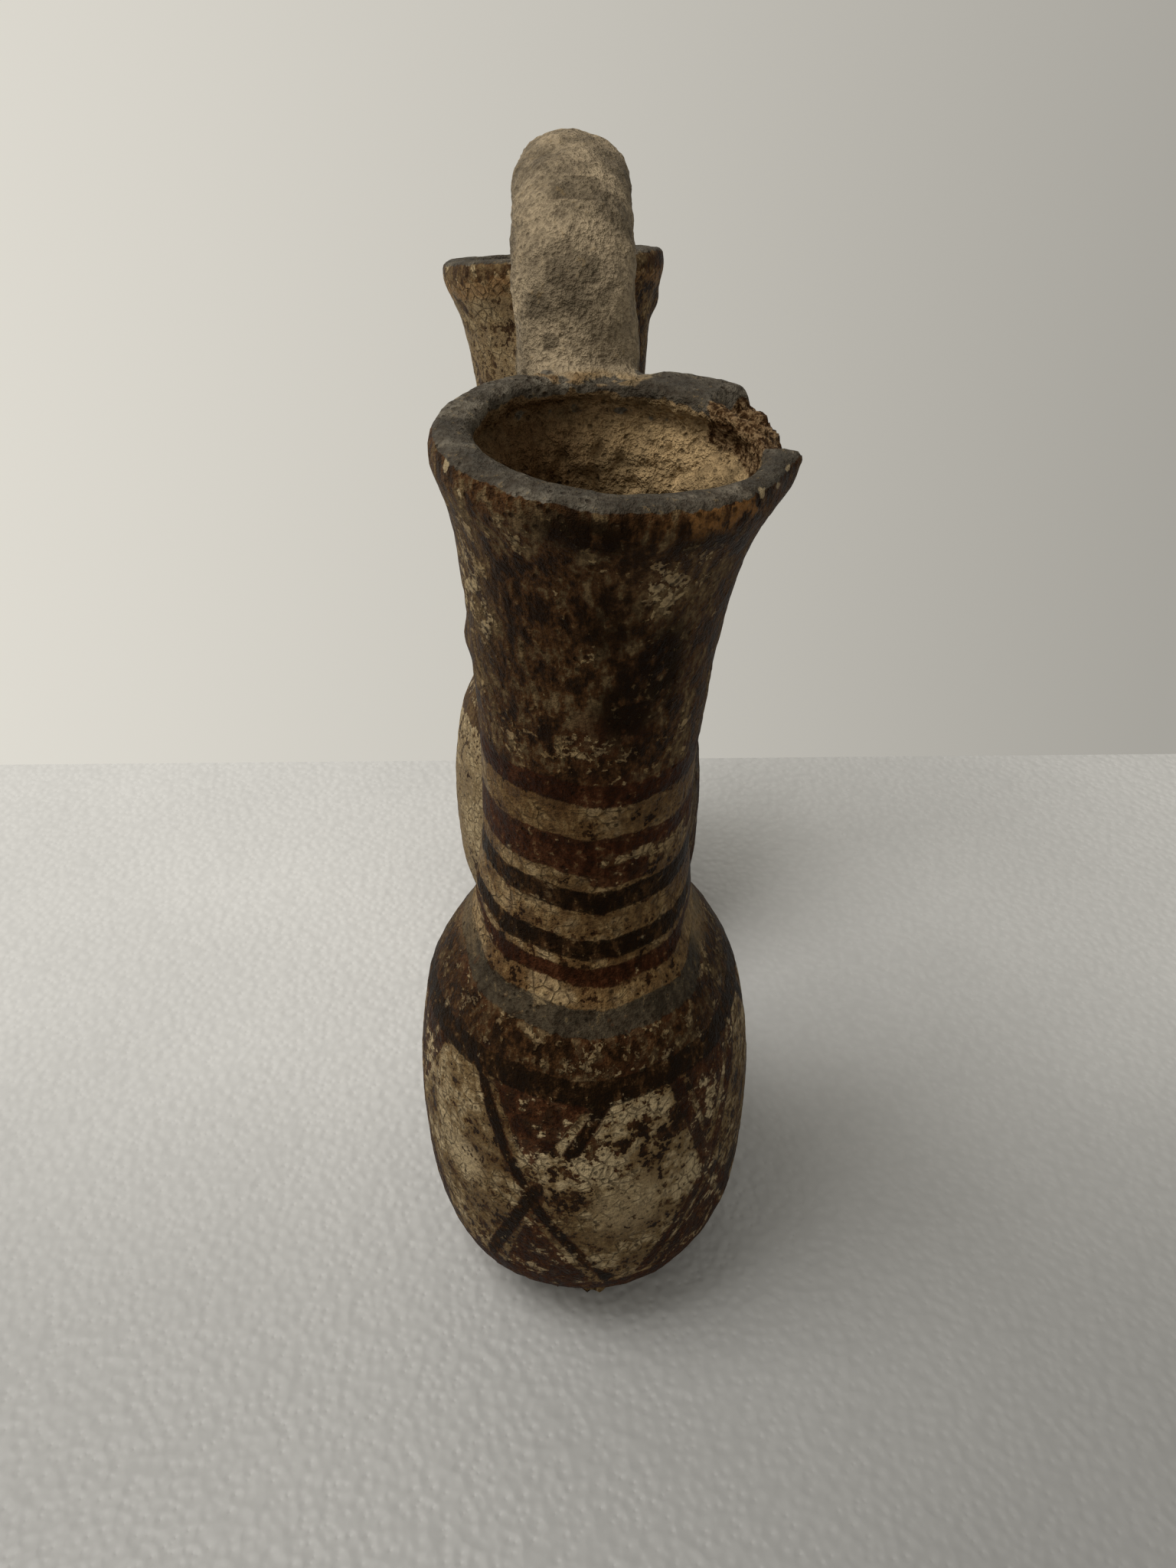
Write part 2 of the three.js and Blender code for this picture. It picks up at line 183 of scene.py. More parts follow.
class DP_PaintSettings(PropertyGroup):
    """The colours of the clay, the slip and the paints."""

    clay_dark: colour("Dark clay", (0.010, 0.0045, 0.0020), "Darkest tone of the smoked clay")
    clay: colour("Clay", (0.066, 0.030, 0.0110), "Middle tone of the clay wall")
    clay_light: colour("Light clay", (0.150, 0.100, 0.050), "Lightest tone of the clay wall")
    cream_dark: colour("Dirty slip", (0.085, 0.047, 0.018), "The cream slip where it is dirty")
    cream: colour("Cream slip", (0.178, 0.120, 0.056), "The cream slip")
    cream_light: colour("Clean slip", (0.450, 0.352, 0.208), "The cream slip where it is clean")
    red: colour("Red paint", (0.027, 0.0072, 0.0027), "The red paint")
    red_light: colour("Worn red paint", (0.058, 0.019, 0.0078), "The red paint where it is worn")
    black: colour("Dark paint", (0.0072, 0.0035, 0.0014), "The dark paint")
    grey: colour("Grey lip", (0.073, 0.065, 0.051), "The smoked grey clay of the lips")
    slate: colour("Grey band", (0.056, 0.047, 0.032), "The grey band on the shoulders")
    handle: colour("Handle", (0.245, 0.194, 0.128), "The bare clay of the handle")
    hollow: colour("Hollow", (0.330, 0.232, 0.122), "The rough clay inside")
    rust: colour("Rust", (0.230, 0.110, 0.036), "Orange-brown clay under the lips")
    broken: colour("Broken clay", (0.092, 0.053, 0.025), "The layers of clay in the broken lip")
    broken_light: colour("Light broken clay", (0.20, 0.132, 0.070), "The palest of those layers")


class DP_StageSettings(PropertyGroup):
    """The floor, the light and the camera."""

    floor: colour("Floor", (0.64, 0.64, 0.635), "The pale foam that the vessel stands on")
    surround: colour("Surround", (1.0, 0.962, 0.868), "The pale surround, which also lights the vessel")
    surround_left: number("Surround left", 0.74, "Brightness of the surround on the left")
    surround_right: number("Surround right", 0.38, "Brightness of the surround on the right")
    key: number("Key light", 6.2, "Power of the soft light from above")
    floor_back: length("Floor back", -0.150, "Where the foam ends behind the vessel")
    floor_size: length("Floor size", 1.6, "Length and width of the foam")
    floor_thickness: length("Floor thickness", 0.02, "Thickness of the foam")
    camera_height: length("Camera height", 0.2741, "Height of the camera")
    camera_distance: length("Camera distance", 0.2625, "Distance of the camera along X")
    camera_side: length("Camera side", -0.00205, "Place of the camera along Y")
    lens: number("Lens", 27.04, "Focal length in millimetres")
    camera_tilt: FloatProperty(
        name="Camera tilt", description="How far the camera looks down", default=math.radians(34.8),
        subtype="ANGLE", unit="ROTATION",
    )
    camera_turn: FloatProperty(
        name="Camera turn", description="How far the camera is turned from +Y", default=math.radians(89.05),
        subtype="ANGLE", unit="ROTATION",
    )


class DP_Settings(PropertyGroup):
    """Everything that a user would change."""

    vessel: PointerProperty(type=DP_VesselSettings)
    handle: PointerProperty(type=DP_HandleSettings)
    paint: PointerProperty(type=DP_PaintSettings)
    stage: PointerProperty(type=DP_StageSettings)


def settings():
    """The scene's settings for this object."""
    return bpy.context.scene.double_pitcher


def smoothstep(values, low, high):
    """0 below low, 1 above high, and a smooth rise between them."""
    share = np.clip((values - low) / (high - low), 0.0, 1.0)
    return share * share * (3.0 - 2.0 * share)


def unit(vectors):
    """Vectors of length 1."""
    return vectors / np.linalg.norm(vectors, axis=-1, keepdims=True)


def smooth_curve(points, steps):
    """A smooth curve through the points, as steps + 1 evenly spaced points."""
    points = np.array(points, float)
    first = 2 * points[0] - points[1]
    last = 2 * points[-1] - points[-2]
    stops = np.vstack([first, points, last])
    dense = [points[:1]]
    for i in range(len(points) - 1):
        p0, p1, p2, p3 = stops[i : i + 4]
        d0, d1, d2 = (np.linalg.norm(b - a) ** 0.5 for a, b in ((p0, p1), (p1, p2), (p2, p3)))
        leave = ((p1 - p0) / d0 - (p2 - p0) / (d0 + d1) + (p2 - p1) / d1) * d1
        arrive = ((p2 - p1) / d1 - (p3 - p1) / (d1 + d2) + (p3 - p2) / d2) * d1
        t = np.linspace(0, 1, CURVE_POINTS + 1)[1:, None]
        bend = -3 * p1 + 3 * p2 - 2 * leave - arrive
        twist = 2 * p1 - 2 * p2 + leave + arrive
        dense.append(p1 + leave * t + bend * t**2 + twist * t**3)
    dense = np.vstack(dense)
    run = np.concatenate([[0], np.cumsum(np.linalg.norm(np.diff(dense, axis=0), axis=1))])
    stations = np.linspace(0, run[-1], steps + 1)
    return np.column_stack([np.interp(stations, run, dense[:, k]) for k in range(dense.shape[1])])


def outer_outline(v, steps=WALL_STEPS):
    """The outside of the wall as (radius, height), from the foot to the lip."""
    return smooth_curve([
        (v.foot_radius, v.foot_rounding),
        (v.heel_radius, v.heel_height),
        (v.belly_radius, v.belly_height),
        (v.shoulder_radius, v.shoulder_height),
        (v.neck_foot_radius, v.neck_foot_height),
        (v.waist_radius, v.waist_height),
        (v.throat_radius, v.throat_height),
        (v.mouth_radius, v.mouth_height - v.lip_height),
    ], steps)


def outer_radius(v, height):
    """The outer radius at each height."""
    outline = outer_outline(v, OUTLINE_POINTS)
    return np.interp(height, outline[:, 1], outline[:, 0])


def inset_outline(v, distance, floor_height):
    """The outline moved inwards, from the floor's height up to the lip."""
    outline = outer_outline(v)
    along = unit(np.gradient(outline, axis=0))
    inner = outline + distance * np.column_stack([-along[:, 1], along[:, 0]])
    inner = inner[inner[:, 1] > floor_height]
    return np.vstack([[inner[0, 0] - distance / 2, floor_height], inner])


def squared(values):
    """Sines or cosines pushed towards a square, so that a round lip gets a flat top and firm edges."""
    return np.sign(values) * np.abs(values) ** LIP_SQUARENESS


def axis_points(v, pose, height):
    """Points on the bent axis of a pitcher."""
    start = NECK_BEND_START * v.neck_foot_height
    share = np.maximum(0.0, (height - start) / (v.mouth_height - start))
    lean = share**2 * (1 + NECK_BEND_SOFTNESS) / (share + NECK_BEND_SOFTNESS)
    lip_start = (1 - LIP_SHIFT_SHARE) * v.mouth_height
    flare = np.maximum(0.0, (height - lip_start) / (v.mouth_height - lip_start))
    x = pose["side"] * (v.spacing / 2 + pose["lean_out"] * lean)
    y = pose["lean_across"] * lean + pose["lip_shift"] * flare**2
    return np.stack([x, y, height], axis=-1)


def ring_normals(v, pose, height):
    """Which way the ring at each height faces."""
    step = v.wall / 10
    along = unit(axis_points(v, pose, height + step) - axis_points(v, pose, height - step))
    lip = unit(np.array([
        pose["side"] * math.tan(math.radians(pose["lip_tilt_out"])),
        math.tan(math.radians(pose["lip_tilt_across"])),
        1.0,
    ]))
    share = smoothstep(height, v.waist_height, v.mouth_height)[..., None]
    return unit(along * (1 - share) + lip * share)


def turned(vectors, normals, back=False):
    """Vectors turned as +Z is turned to the normals, or back again."""
    axis = np.stack([-normals[..., 1], normals[..., 0], np.zeros_like(normals[..., 0])], axis=-1)
    once = np.cross(axis, vectors)
    twice = np.cross(axis, once) / (1 + normals[..., 2:])
    return vectors - once + twice if back else vectors + once + twice


def lip_bulge(pose, angle):
    """How much further out than a circle the lip's edge stands at each angle."""
    total = np.zeros_like(angle)
    for at, spread, size in pose["bulges"]:
        away = (np.degrees(angle) - at + 180) % 360 - 180
        total += size * np.exp(-((away / spread) ** 2))
    return total


def lobes(v, pose, angle, height):
    """The uneven wall as a share of its radius."""
    total = np.ones_like(angle)
    for count, share, phase, twist in LOBES:
        total += share * np.sin(count * (angle + pose["turn"]) + phase + twist * height / v.belly_height)
    return total


def length_ratio(v, height):
    """How much longer than wide the pitcher is at each height."""
    belly = 1 - smoothstep(height, v.shoulder_height, v.neck_foot_height)
    return 1 + (v.belly_length - 1) * belly


def shaped(v, pose, points):
    """An upright shape of revolution made into this pitcher: oval, uneven and leaning."""
    angle = np.arctan2(points[:, 1], points[:, 0])
    radius = np.hypot(points[:, 0], points[:, 1])
    height = points[:, 2]
    flare = smoothstep(height, v.throat_height, v.mouth_height)
    outside = smoothstep(radius, v.mouth_radius - v.lip_thickness, v.mouth_radius)
    reach = radius * lobes(v, pose, angle, height) + lip_bulge(pose, angle) * flare * outside
    ring = np.stack([
        reach * np.cos(angle) * length_ratio(v, height),
        reach * np.sin(angle),
        np.zeros_like(reach),
    ], axis=-1)
    return turned(ring, ring_normals(v, pose, height)) + axis_points(v, pose, height) + FRAME_SHIFT


def unshaped(v, pose, points):
    """Where points lie on this pitcher: angle, radius and height of the upright shape."""
    points = points - FRAME_SHIFT
    height = points[:, 2].copy()
    for _ in range(HEIGHT_ROUNDS):
        off = points - axis_points(v, pose, height)
        height += np.sum(off * ring_normals(v, pose, height), axis=1)
    off = points - axis_points(v, pose, height)
    ring = turned(off, ring_normals(v, pose, height), back=True)
    along = ring[:, 0] / length_ratio(v, height)
    angle = np.arctan2(ring[:, 1], along)
    reach = np.hypot(along, ring[:, 1])
    flare = smoothstep(height, v.throat_height, v.mouth_height)
    bulge = lip_bulge(pose, angle) * flare
    outside = smoothstep(reach - bulge, v.mouth_radius - v.lip_thickness, v.mouth_radius)
    return angle, (reach - bulge * outside) / lobes(v, pose, angle, height), height


def deselect():
    """Leaves nothing selected."""
    if bpy.context.object and bpy.context.object.mode != "OBJECT":
        bpy.ops.object.mode_set(mode="OBJECT")
    bpy.ops.object.select_all(action="DESELECT")


def activate(obj):
    """Selects one object alone."""
    deselect()
    obj.select_set(True)
    bpy.context.view_layer.objects.active = obj


def ring_solid(name, rings, sides):
    """A closed round solid: a disc that is pulled up and resized ring by ring."""
    deselect()
    radius, height = rings[0]
    bpy.ops.mesh.primitive_circle_add(
        vertices=sides, radius=radius, fill_type="NGON", location=(0, 0, 0), enter_editmode=True
    )
    obj = bpy.context.object
    obj.name = name
    bpy.ops.mesh.select_all(action="SELECT")
    bpy.ops.transform.translate(value=(0, 0, height))
    for next_radius, next_height in rings[1:]:
        bpy.ops.mesh.extrude_region_move(TRANSFORM_OT_translate={"value": (0, 0, next_height - height)})
        ratio = next_radius / radius
        bpy.ops.transform.resize(value=(ratio, ratio, 1), center_override=(0, 0, next_height))
        radius, height = next_radius, next_height
    bpy.ops.mesh.select_all(action="SELECT")
    bpy.ops.mesh.normals_make_consistent(inside=False)
    bpy.ops.object.mode_set(mode="OBJECT")
    return obj


def read_points(obj):
    """The places of a mesh's vertices."""
    flat = np.empty(len(obj.data.vertices) * 3)
    obj.data.vertices.foreach_get("co", flat)
    return flat.reshape(-1, 3)


def read_normals(obj):
    """The normals of a mesh's vertices."""
    flat = np.empty(len(obj.data.vertices) * 3)
    obj.data.vertex_normals.foreach_get("vector", flat)
    return flat.reshape(-1, 3)


def write_points(obj, points):
    """Moves a mesh's vertices."""
    obj.data.vertices.foreach_set("co", np.ascontiguousarray(points, float).ravel())
    obj.data.update()


def finish_modifier(obj, kind, **choices):
    """Adds a modifier with these choices and applies it."""
    activate(obj)
    modifier = obj.modifiers.new(kind.title(), kind)
    for name, value in choices.items():
        setattr(modifier, name, value)
    bpy.ops.object.modifier_apply(modifier=modifier.name)


def piece(name):
    """A piece that an earlier operator made."""
    obj = bpy.data.objects.get(name)
    if obj is None:
        raise RuntimeError(f"make {name} first")
    return obj


def handle_centreline(v, h, steps=HANDLE_STEPS):
    """The handle's centreline, from inside the near neck's wall over the crown to the far neck."""
    ends = []
    for pose in (NEAR, FAR):
        side = pose["side"]
        root_height = v.mouth_height - h.root_drop
        inside = axis_points(v, pose, np.array(root_height - h.thickness / 4))
        root = axis_points(v, pose, np.array(root_height))
        root[0] -= side * (outer_radius(v, root_height) - v.wall / 2)
        passing = axis_points(v, pose, np.array(v.mouth_height))
        passing[0] -= side * (v.mouth_radius + h.thickness / 2 - h.lip_overlap)
        for point in (inside, root, passing):
            point[1] = pose["handle_y"]
        ends.append((inside, root, passing))
    near, far = ends
    middle = (near[2][0] + far[2][0]) / 2
    half_span = (near[2][0] - far[2][0]) / 2
    rise = h.rise - h.thickness / 2
    arch = []
    for angle in np.radians(np.arange(0, 180 + ARCH_STEP, ARCH_STEP)):
        end_y = near[2][1] if math.cos(angle) >= 0 else far[2][1]
        y = end_y + (HANDLE_CROWN_Y - end_y) * math.sin(angle)
        arch.append((middle + half_span * math.cos(angle), y, v.mouth_height + rise * math.sin(angle)))
    stops = [near[0], near[1], *arch, far[1], far[0]]
    return smooth_curve(stops, steps) + FRAME_SHIFT


def plug(v, pose, top):
    """A solid that fills a pitcher up to the middle of its wall and stands out of its mouth."""
    rings = [tuple(r) for r in inset_outline(v, v.wall / 2, v.floor / 2)]
    rings.append((rings[-1][0], v.mouth_height + top))
    obj = ring_solid("plug", rings, ROUND_SIDES)
    write_points(obj, shaped(v, pose, read_points(obj)))
    return obj


def cut_at_walls(obj):
    """Ends a join in the middle of the pitchers' walls, so that the hollows stay free."""
    s = settings()
    for pose in (NEAR, FAR):
        filling = plug(s.vessel, pose, s.handle.rise)
        finish_modifier(obj, "BOOLEAN", operation="DIFFERENCE", solver="EXACT", object=filling)
        bpy.data.objects.remove(filling)


class DP_OT_Pitchers(Operator):
    """Builds the two hollow pitchers ring by ring: outside, lip, inside and floor"""

    bl_idname = "double_pitcher.pitchers"
    bl_label = "Pitchers"
    bl_options = {"REGISTER", "UNDO"}

    def execute(self, context):
        v = settings().vessel
        outside = outer_outline(v)
        lip_start = outside[-1]
        lip_middle = lip_start[0] - v.lip_thickness / 2
        turns = np.linspace(0, math.pi, LIP_STEPS + 2)[1:]
        lip = np.column_stack([
            lip_middle + v.lip_thickness / 2 * squared(np.cos(turns)),
            lip_start[1] + v.lip_height * squared(np.sin(turns)),
        ])
        inside = inset_outline(v, v.wall, v.floor)
        inside = inside[inside[:, 1] < lip_start[1] - v.wall / 2][::-1]
        foot = [(v.foot_radius - v.foot_rounding, 0.0)]
        rings = np.vstack([foot, outside, lip, inside])
        for name, pose in (("near_pitcher", NEAR), ("far_pitcher", FAR)):
            obj = ring_solid(name, [tuple(r) for r in rings], ROUND_SIDES)
            write_points(obj, shaped(v, pose, read_points(obj)))
        return {"FINISHED"}


class DP_OT_Handle(Operator):
    """Builds the arched handle between the necks, swollen where it was smeared onto them"""

    bl_idname = "double_pitcher.handle"
    bl_label = "Handle"
    bl_options = {"REGISTER", "UNDO"}

    def execute(self, context):
        s = settings()
        v, h = s.vessel, s.handle
        path = handle_centreline(v, h)
        towards_end = np.abs(np.linspace(-1, 1, HANDLE_STEPS + 1))
        swell = 1 + HANDLE_END_SWELL * towards_end**HANDLE_SWELL_POWER
        rings = [(swell[i] * h.width / 2, i * MM) for i in range(HANDLE_STEPS + 1)]
        obj = ring_solid("handle", rings, HANDLE_SIDES)
        rod = read_points(obj)
        station = np.rint(rod[:, 2] / MM).astype(int)
        along = unit(np.gradient(path, axis=0))[station]
        above = unit(np.cross(along, np.broadcast_to((0.0, 1.0, 0.0), along.shape)))
        across = np.cross(above, along)
        flat = rod[:, 1] * h.thickness / h.width
        write_points(obj, path[station] + across * rod[:, :1] + above * flat[:, None])
        activate(obj)
        bpy.ops.object.mode_set(mode="EDIT")
        bpy.ops.mesh.select_all(action="SELECT")
        bpy.ops.mesh.normals_make_consistent(inside=False)
        bpy.ops.object.mode_set(mode="OBJECT")
        cut_at_walls(obj)
        return {"FINISHED"}


class DP_OT_Bridge(Operator):
    """Builds the oval strut between the bellies, waisted in the middle and flared at its ends"""

    bl_idname = "double_pitcher.bridge"
    bl_label = "Bridge"
    bl_options = {"REGISTER", "UNDO"}

    def execute(self, context):
        s = settings()
        v, h = s.vessel, s.handle
        reach = v.spacing / 2 - v.belly_radius / 2
        half = []
        for share in BRIDGE_RINGS:
            flare = (share / BRIDGE_RINGS[-1]) ** BRIDGE_FLARE_POWER
            half.append((h.bridge_waist + (h.bridge_end - h.bridge_waist) * flare, share * reach))
        half.append((h.bridge_end, reach))
        rings = [(radius, -at) for radius, at in half[:0:-1]] + half
        rings = smooth_curve(rings, BRIDGE_STEPS)
        obj = ring_solid("bridge", [tuple(r) for r in rings], HANDLE_SIDES)
        activate(obj)
        bpy.ops.object.mode_set(mode="EDIT")
        bpy.ops.mesh.select_all(action="SELECT")
        bpy.ops.transform.rotate(value=math.pi / 2, orient_axis="Y", center_override=(0, 0, 0))
        bpy.ops.transform.resize(value=(1, 1, h.bridge_upright), center_override=(0, 0, 0))
        bpy.ops.transform.translate(value=(FRAME_SHIFT[0], FRAME_SHIFT[1], h.bridge_height))
        bpy.ops.mesh.normals_make_consistent(inside=False)
        bpy.ops.object.mode_set(mode="OBJECT")
        cut_at_walls(obj)
        return {"FINISHED"}


def where_on_vessel(points):
    """For each point: which pitcher it is on, its angle in degrees, and its radius and height."""
    s = settings()
    near = points[:, 0] > FRAME_SHIFT[0]
    angle, radius, height = (np.empty(len(points)) for _ in range(3))
    for pose, chosen in ((NEAR, near), (FAR, ~near)):
        a, r, h = unshaped(s.vessel, pose, points[chosen])
        angle[chosen], radius[chosen], height[chosen] = np.degrees(a), r, h
    return near, angle, radius, height


def distance_to_path(points, path):
    """How far each point is from a path of close points, and which station is nearest."""
    best = np.full(len(points), np.inf)
    station = np.zeros(len(points), int)
    for i, stop in enumerate(path):
        away = np.linalg.norm(points - stop, axis=1)
        closer = away < best
        best[closer] = away[closer]
        station[closer] = i
    return best, station


def cloud(points, size, seed, octaves=1):
    """Smooth noise from -1 to 1 with lumps of about this size."""
    shift = Vector((seed * 7.31, seed * 3.77, seed * 5.13))
    found = np.empty(len(points))
    for i, p in enumerate(points / size):
        place = Vector(p) + shift
        found[i] = noise.fractal(place, 0.6, 2.0, octaves) if octaves > 1 else noise.noise(place)
    return found


def apart(angle, at):
    """How far apart two angles are, from -180 to 180 degrees."""
    return (angle - at + 180) % 360 - 180


# The shoulders swell out in front and are flatter at both sides. The necks stand in a shallow crease.
SHOULDER_SWELL = {"size": 0.0012, "height": 0.091, "spread": 0.0085}
SHOULDER_HOLLOW = {"size": 0.0021, "height": 0.1010, "spread": 0.0095}
NECK_CREASE = {"size": 0.0006, "height": 0.1065, "spread": 0.0028}
# From this angle to this one, away from the front, the swell turns into the hollow.
SHOULDER_TURN = (35, 75)
# How far large, middle and fine lumps move the surface, in mm, on the wall, inside and on the handle.
WALL_LUMPS = (0.40, 0.22, 0.13)
HOLLOW_LUMPS = (0.0, 1.1, 1.1)
HANDLE_LUMPS = (0.45, 0.30, 0.18)
HANDLE_WORN = 0.5
# The near mouth is wider inside on its broken side.
MOUTH_WIDENING = {"at": 92, "spread": 48, "size": 0.0024, "from": 0.180}
# The groove under the back of the near lip: its middle and reach in degrees, and its depth.
LIP_GROOVE = {"at": 190, "reach": (70, 100), "size": 0.0019, "ragged": 0.0013}
# The broken stretch of the near lip, in degrees from +X towards +Y, and how deep it is broken.
LIP_BREAK = {"middle": 111, "half": 21, "edge": 5, "depth": 0.0042, "layers": 0.0011}
# Chips on the near foot's edge: (angle, half width in degrees, depth). Below 0 the clay sticks out.
FOOT_CHIPS = [
    (-24, 18, -0.0016),
    (4, 9, -0.0022),
    (17, 7, 0.0010),
    (30, 7, 0.0018),
    (46, 6, -0.0012),
    (140, 8, 0.0013),
]
# Lumps of clay left on the walls: (near pitcher or not, angle, height, spread, rise).
LUMPS = [
    (True, -88, 0.172, 0.0030, 0.0009),
    (False, 84, 0.199, 0.0030, 0.0013),
    (True, 160, 0.120, 0.0060, 0.0012),
    (False, -150, 0.128, 0.0060, 0.0012),
]
# How much of the mesh is kept in each place, in the order in which it is thinned.
MESH_KEPT = {"deep": 0.14, "neck_inside": 0.40, "outside": 0.70}


class DP_OT_Clay(Operator):
    """Joins the pitchers, the handle and the bridge into one piece of clay and wears it"""

    bl_idname = "double_pitcher.clay"
    bl_label = "Clay"
    bl_options = {"REGISTER", "UNDO"}

    def execute(self, context):
        s = settings()
        v = s.vessel
        parts = [piece(name) for name in ("near_pitcher", "far_pitcher", "handle", "bridge")]
        deselect()
        for part in parts:
            part.select_set(True)
        context.view_layer.objects.active = parts[0]
        bpy.ops.object.join()
        obj = parts[0]
        obj.name = "clay_vessel"
        finish_modifier(obj, "REMESH", mode="VOXEL", voxel_size=v.grain, use_smooth_shade=True)
        self.soften_joins(obj)
        finish_modifier(obj, "SMOOTH", factor=0.5, iterations=3)
        self.wear(obj)
        self.thin_out(obj)
        return {"FINISHED"}

    def soften_joins(self, obj):
        """Smooths the clay where the handle and the bridge run into the pitchers."""
        s = settings()
        points = read_points(obj)
        _, _, radius, height = where_on_vessel(points)
        off_wall = radius - outer_radius(s.vessel, height)
        near_wall = 1 - smoothstep(off_wall, 2.0 * MM, 6.0 * MM)
        away, _ = distance_to_path(points, handle_centreline(s.vessel, s.handle))
        rod = away - s.handle.width / 2
        at_handle = 1 - smoothstep(np.abs(rod), 1.5 * MM, 5.0 * MM)
        beside = np.hypot(points[:, 1] - FRAME_SHIFT[1], points[:, 2] - s.handle.bridge_height)
        inward = smoothstep(off_middle(points), 0.020, 0.032)
        at_bridge = (1 - smoothstep(np.abs(beside - s.handle.bridge_end), 2 * MM, 7 * MM)) * (1 - inward)
        weight = np.clip(near_wall * np.maximum(at_handle, at_bridge), 0, 1) * (off_wall > -2 * MM)
        self.weigh(obj, "joins", weight)
        finish_modifier(obj, "SMOOTH", factor=0.5, iterations=14, vertex_group="joins")

    def weigh(self, obj, name, weights):
        """Stores weights in a vertex group."""
        group = obj.vertex_groups.new(name=name)
        for level in range(1, 11):
            chosen = np.nonzero(np.rint(weights * 10).astype(int) == level)[0]
            group.add(chosen.tolist(), level / 10, "REPLACE")

    def wear(self, obj):
        """Moves the surface as hands, tools and breakage have: lumps, grooves, chips and the broken lip."""
        v = settings().vessel
        points, normals = read_points(obj), read_normals(obj)
        near, angle, radius, height = where_on_vessel(points)
        inside = in_hollow(v, radius, height, 0.45, 0.75)
        handle = on_handle(points, radius, height)
        outside = (1 - inside) * (1 - handle)
        rise = self.uneven(points, height, inside, handle)
        rise += self.shoulders(angle, height) * outside
        rise += self.stray_lumps(near, angle, height) * outside
        moved = points + normals * rise[:, None]
        moved = self.widen_mouth(moved, near, angle, radius, height)
        moved = self.groove_under_lip(moved, near, angle, radius, height)
        moved = self.break_lip(moved, near, angle, radius, height, handle)
        moved = self.chip_foot(moved, near, angle, radius, height)
        write_points(obj, moved)

    def uneven(self, points, height, inside, handle):
        """How far the hand-built surface stands out or in, by lumps of three sizes."""
        v = settings().vessel
        lip = smoothstep(height, v.mouth_height - 10 * MM, v.mouth_height - 5 * MM) * (1 - handle)
        foot = 1 - smoothstep(height, 1.0 * MM, 5.0 * MM)
        lumps = (cloud(points, 20 * MM, 1), cloud(points, 7 * MM, 2), cloud(points, 2.6 * MM, 3, 3))
        wall, hollow, rod = (
            sum(amount * lump for amount, lump in zip(amounts, lumps))
            for amounts in (WALL_LUMPS, HOLLOW_LUMPS, HANDLE_LUMPS)
        )
        rise = wall + inside * (1 - lip) * hollow + handle * (rod - HANDLE_WORN)
        return rise * MM * (1 - foot)

    def shoulders(self, angle, height):
        """How far the shoulders stand out in front and in at the sides, with a crease under the neck."""
        beside = smoothstep(np.abs(apart(angle, 0)), *SHOULDER_TURN)
        swell = ring_of(SHOULDER_SWELL, height) * (1 - beside) - ring_of(SHOULDER_HOLLOW, height) * beside
        return swell - ring_of(NECK_CREASE, height)

    def stray_lumps(self, near, angle, height):
        """How far the lumps of clay left on the walls stand out."""
        outer = outer_radius(settings().vessel, height)
        rise = np.zeros(len(angle))
        for on_near, at, at_height, spread, up in LUMPS:
            away = np.hypot(np.radians(apart(angle, at)) * outer, height - at_height)
            rise += up * np.exp(-((away / spread) ** 2)) * (near == on_near)
        return rise

    def widen_mouth(self, points, near, angle, radius, height):
        """The inner edge of the near mouth stands further out on one side."""
        v = settings().vessel
        m = MOUTH_WIDENING
        outwards = from_near_axis(v, points, height) * near[:, None]
        inner = np.clip((outer_radius(v, height) - radius) / v.wall, 0, 1)
        push = m["size"] * np.exp(-((apart(angle, m["at"]) / m["spread"]) ** 2))
        push = push * inner * smoothstep(height, m["from"], v.mouth_height - v.lip_height)
        return points + outwards * push[:, None]

    def groove_under_lip(self, points, near, angle, radius, height):
        """The back of the near lip hangs over the hollow: the wall below it is pushed back."""
        v = settings().vessel
        g = LIP_GROOVE
        outwards = from_near_axis(v, points, height) * near[:, None]
        below = v.mouth_height - height + g["ragged"] * cloud(points, 3.5 * MM, 5, 2)
        groove = smoothstep(below, 3.2 * MM, 4.8 * MM) * (1 - smoothstep(below, 6 * MM, 13 * MM))
        behind = 1 - smoothstep(np.abs(apart(angle, g["at"])), *g["reach"])
        inner = radius < outer_radius(v, height) - v.wall * 0.35
        return points + outwards * (g["size"] * groove * behind * inner)[:, None]

    def break_lip(self, points, near, angle, radius, height, handle):
        """Breaks the near lip down in rough layers, deepest at its outer edge."""
        v = settings().vessel
        ragged = cloud(points, 5 * MM, 7, 3)
        along = np.abs(apart(angle + 3.0 * ragged, LIP_BREAK["middle"]))
        stretch = 1 - smoothstep(along, LIP_BREAK["half"], LIP_BREAK["half"] + LIP_BREAK["edge"])
        inner_edge = v.mouth_radius - v.lip_thickness
        across = smoothstep(radius + 1.2 * MM * ragged, inner_edge + 1.2 * MM, v.mouth_radius)
        depth = LIP_BREAK["depth"] * (0.25 + 0.75 * across) + 0.9 * MM * ragged
        steps = LIP_BREAK["layers"] * np.round(depth / LIP_BREAK["layers"])
        depth = 0.4 * depth + 0.6 * steps
        top = v.mouth_height + 0.2 * MM - depth
        over = np.maximum(0.0, height - top) * stretch * near * (1 - handle)
        return points - ring_normals(v, NEAR, height) * over[:, None]

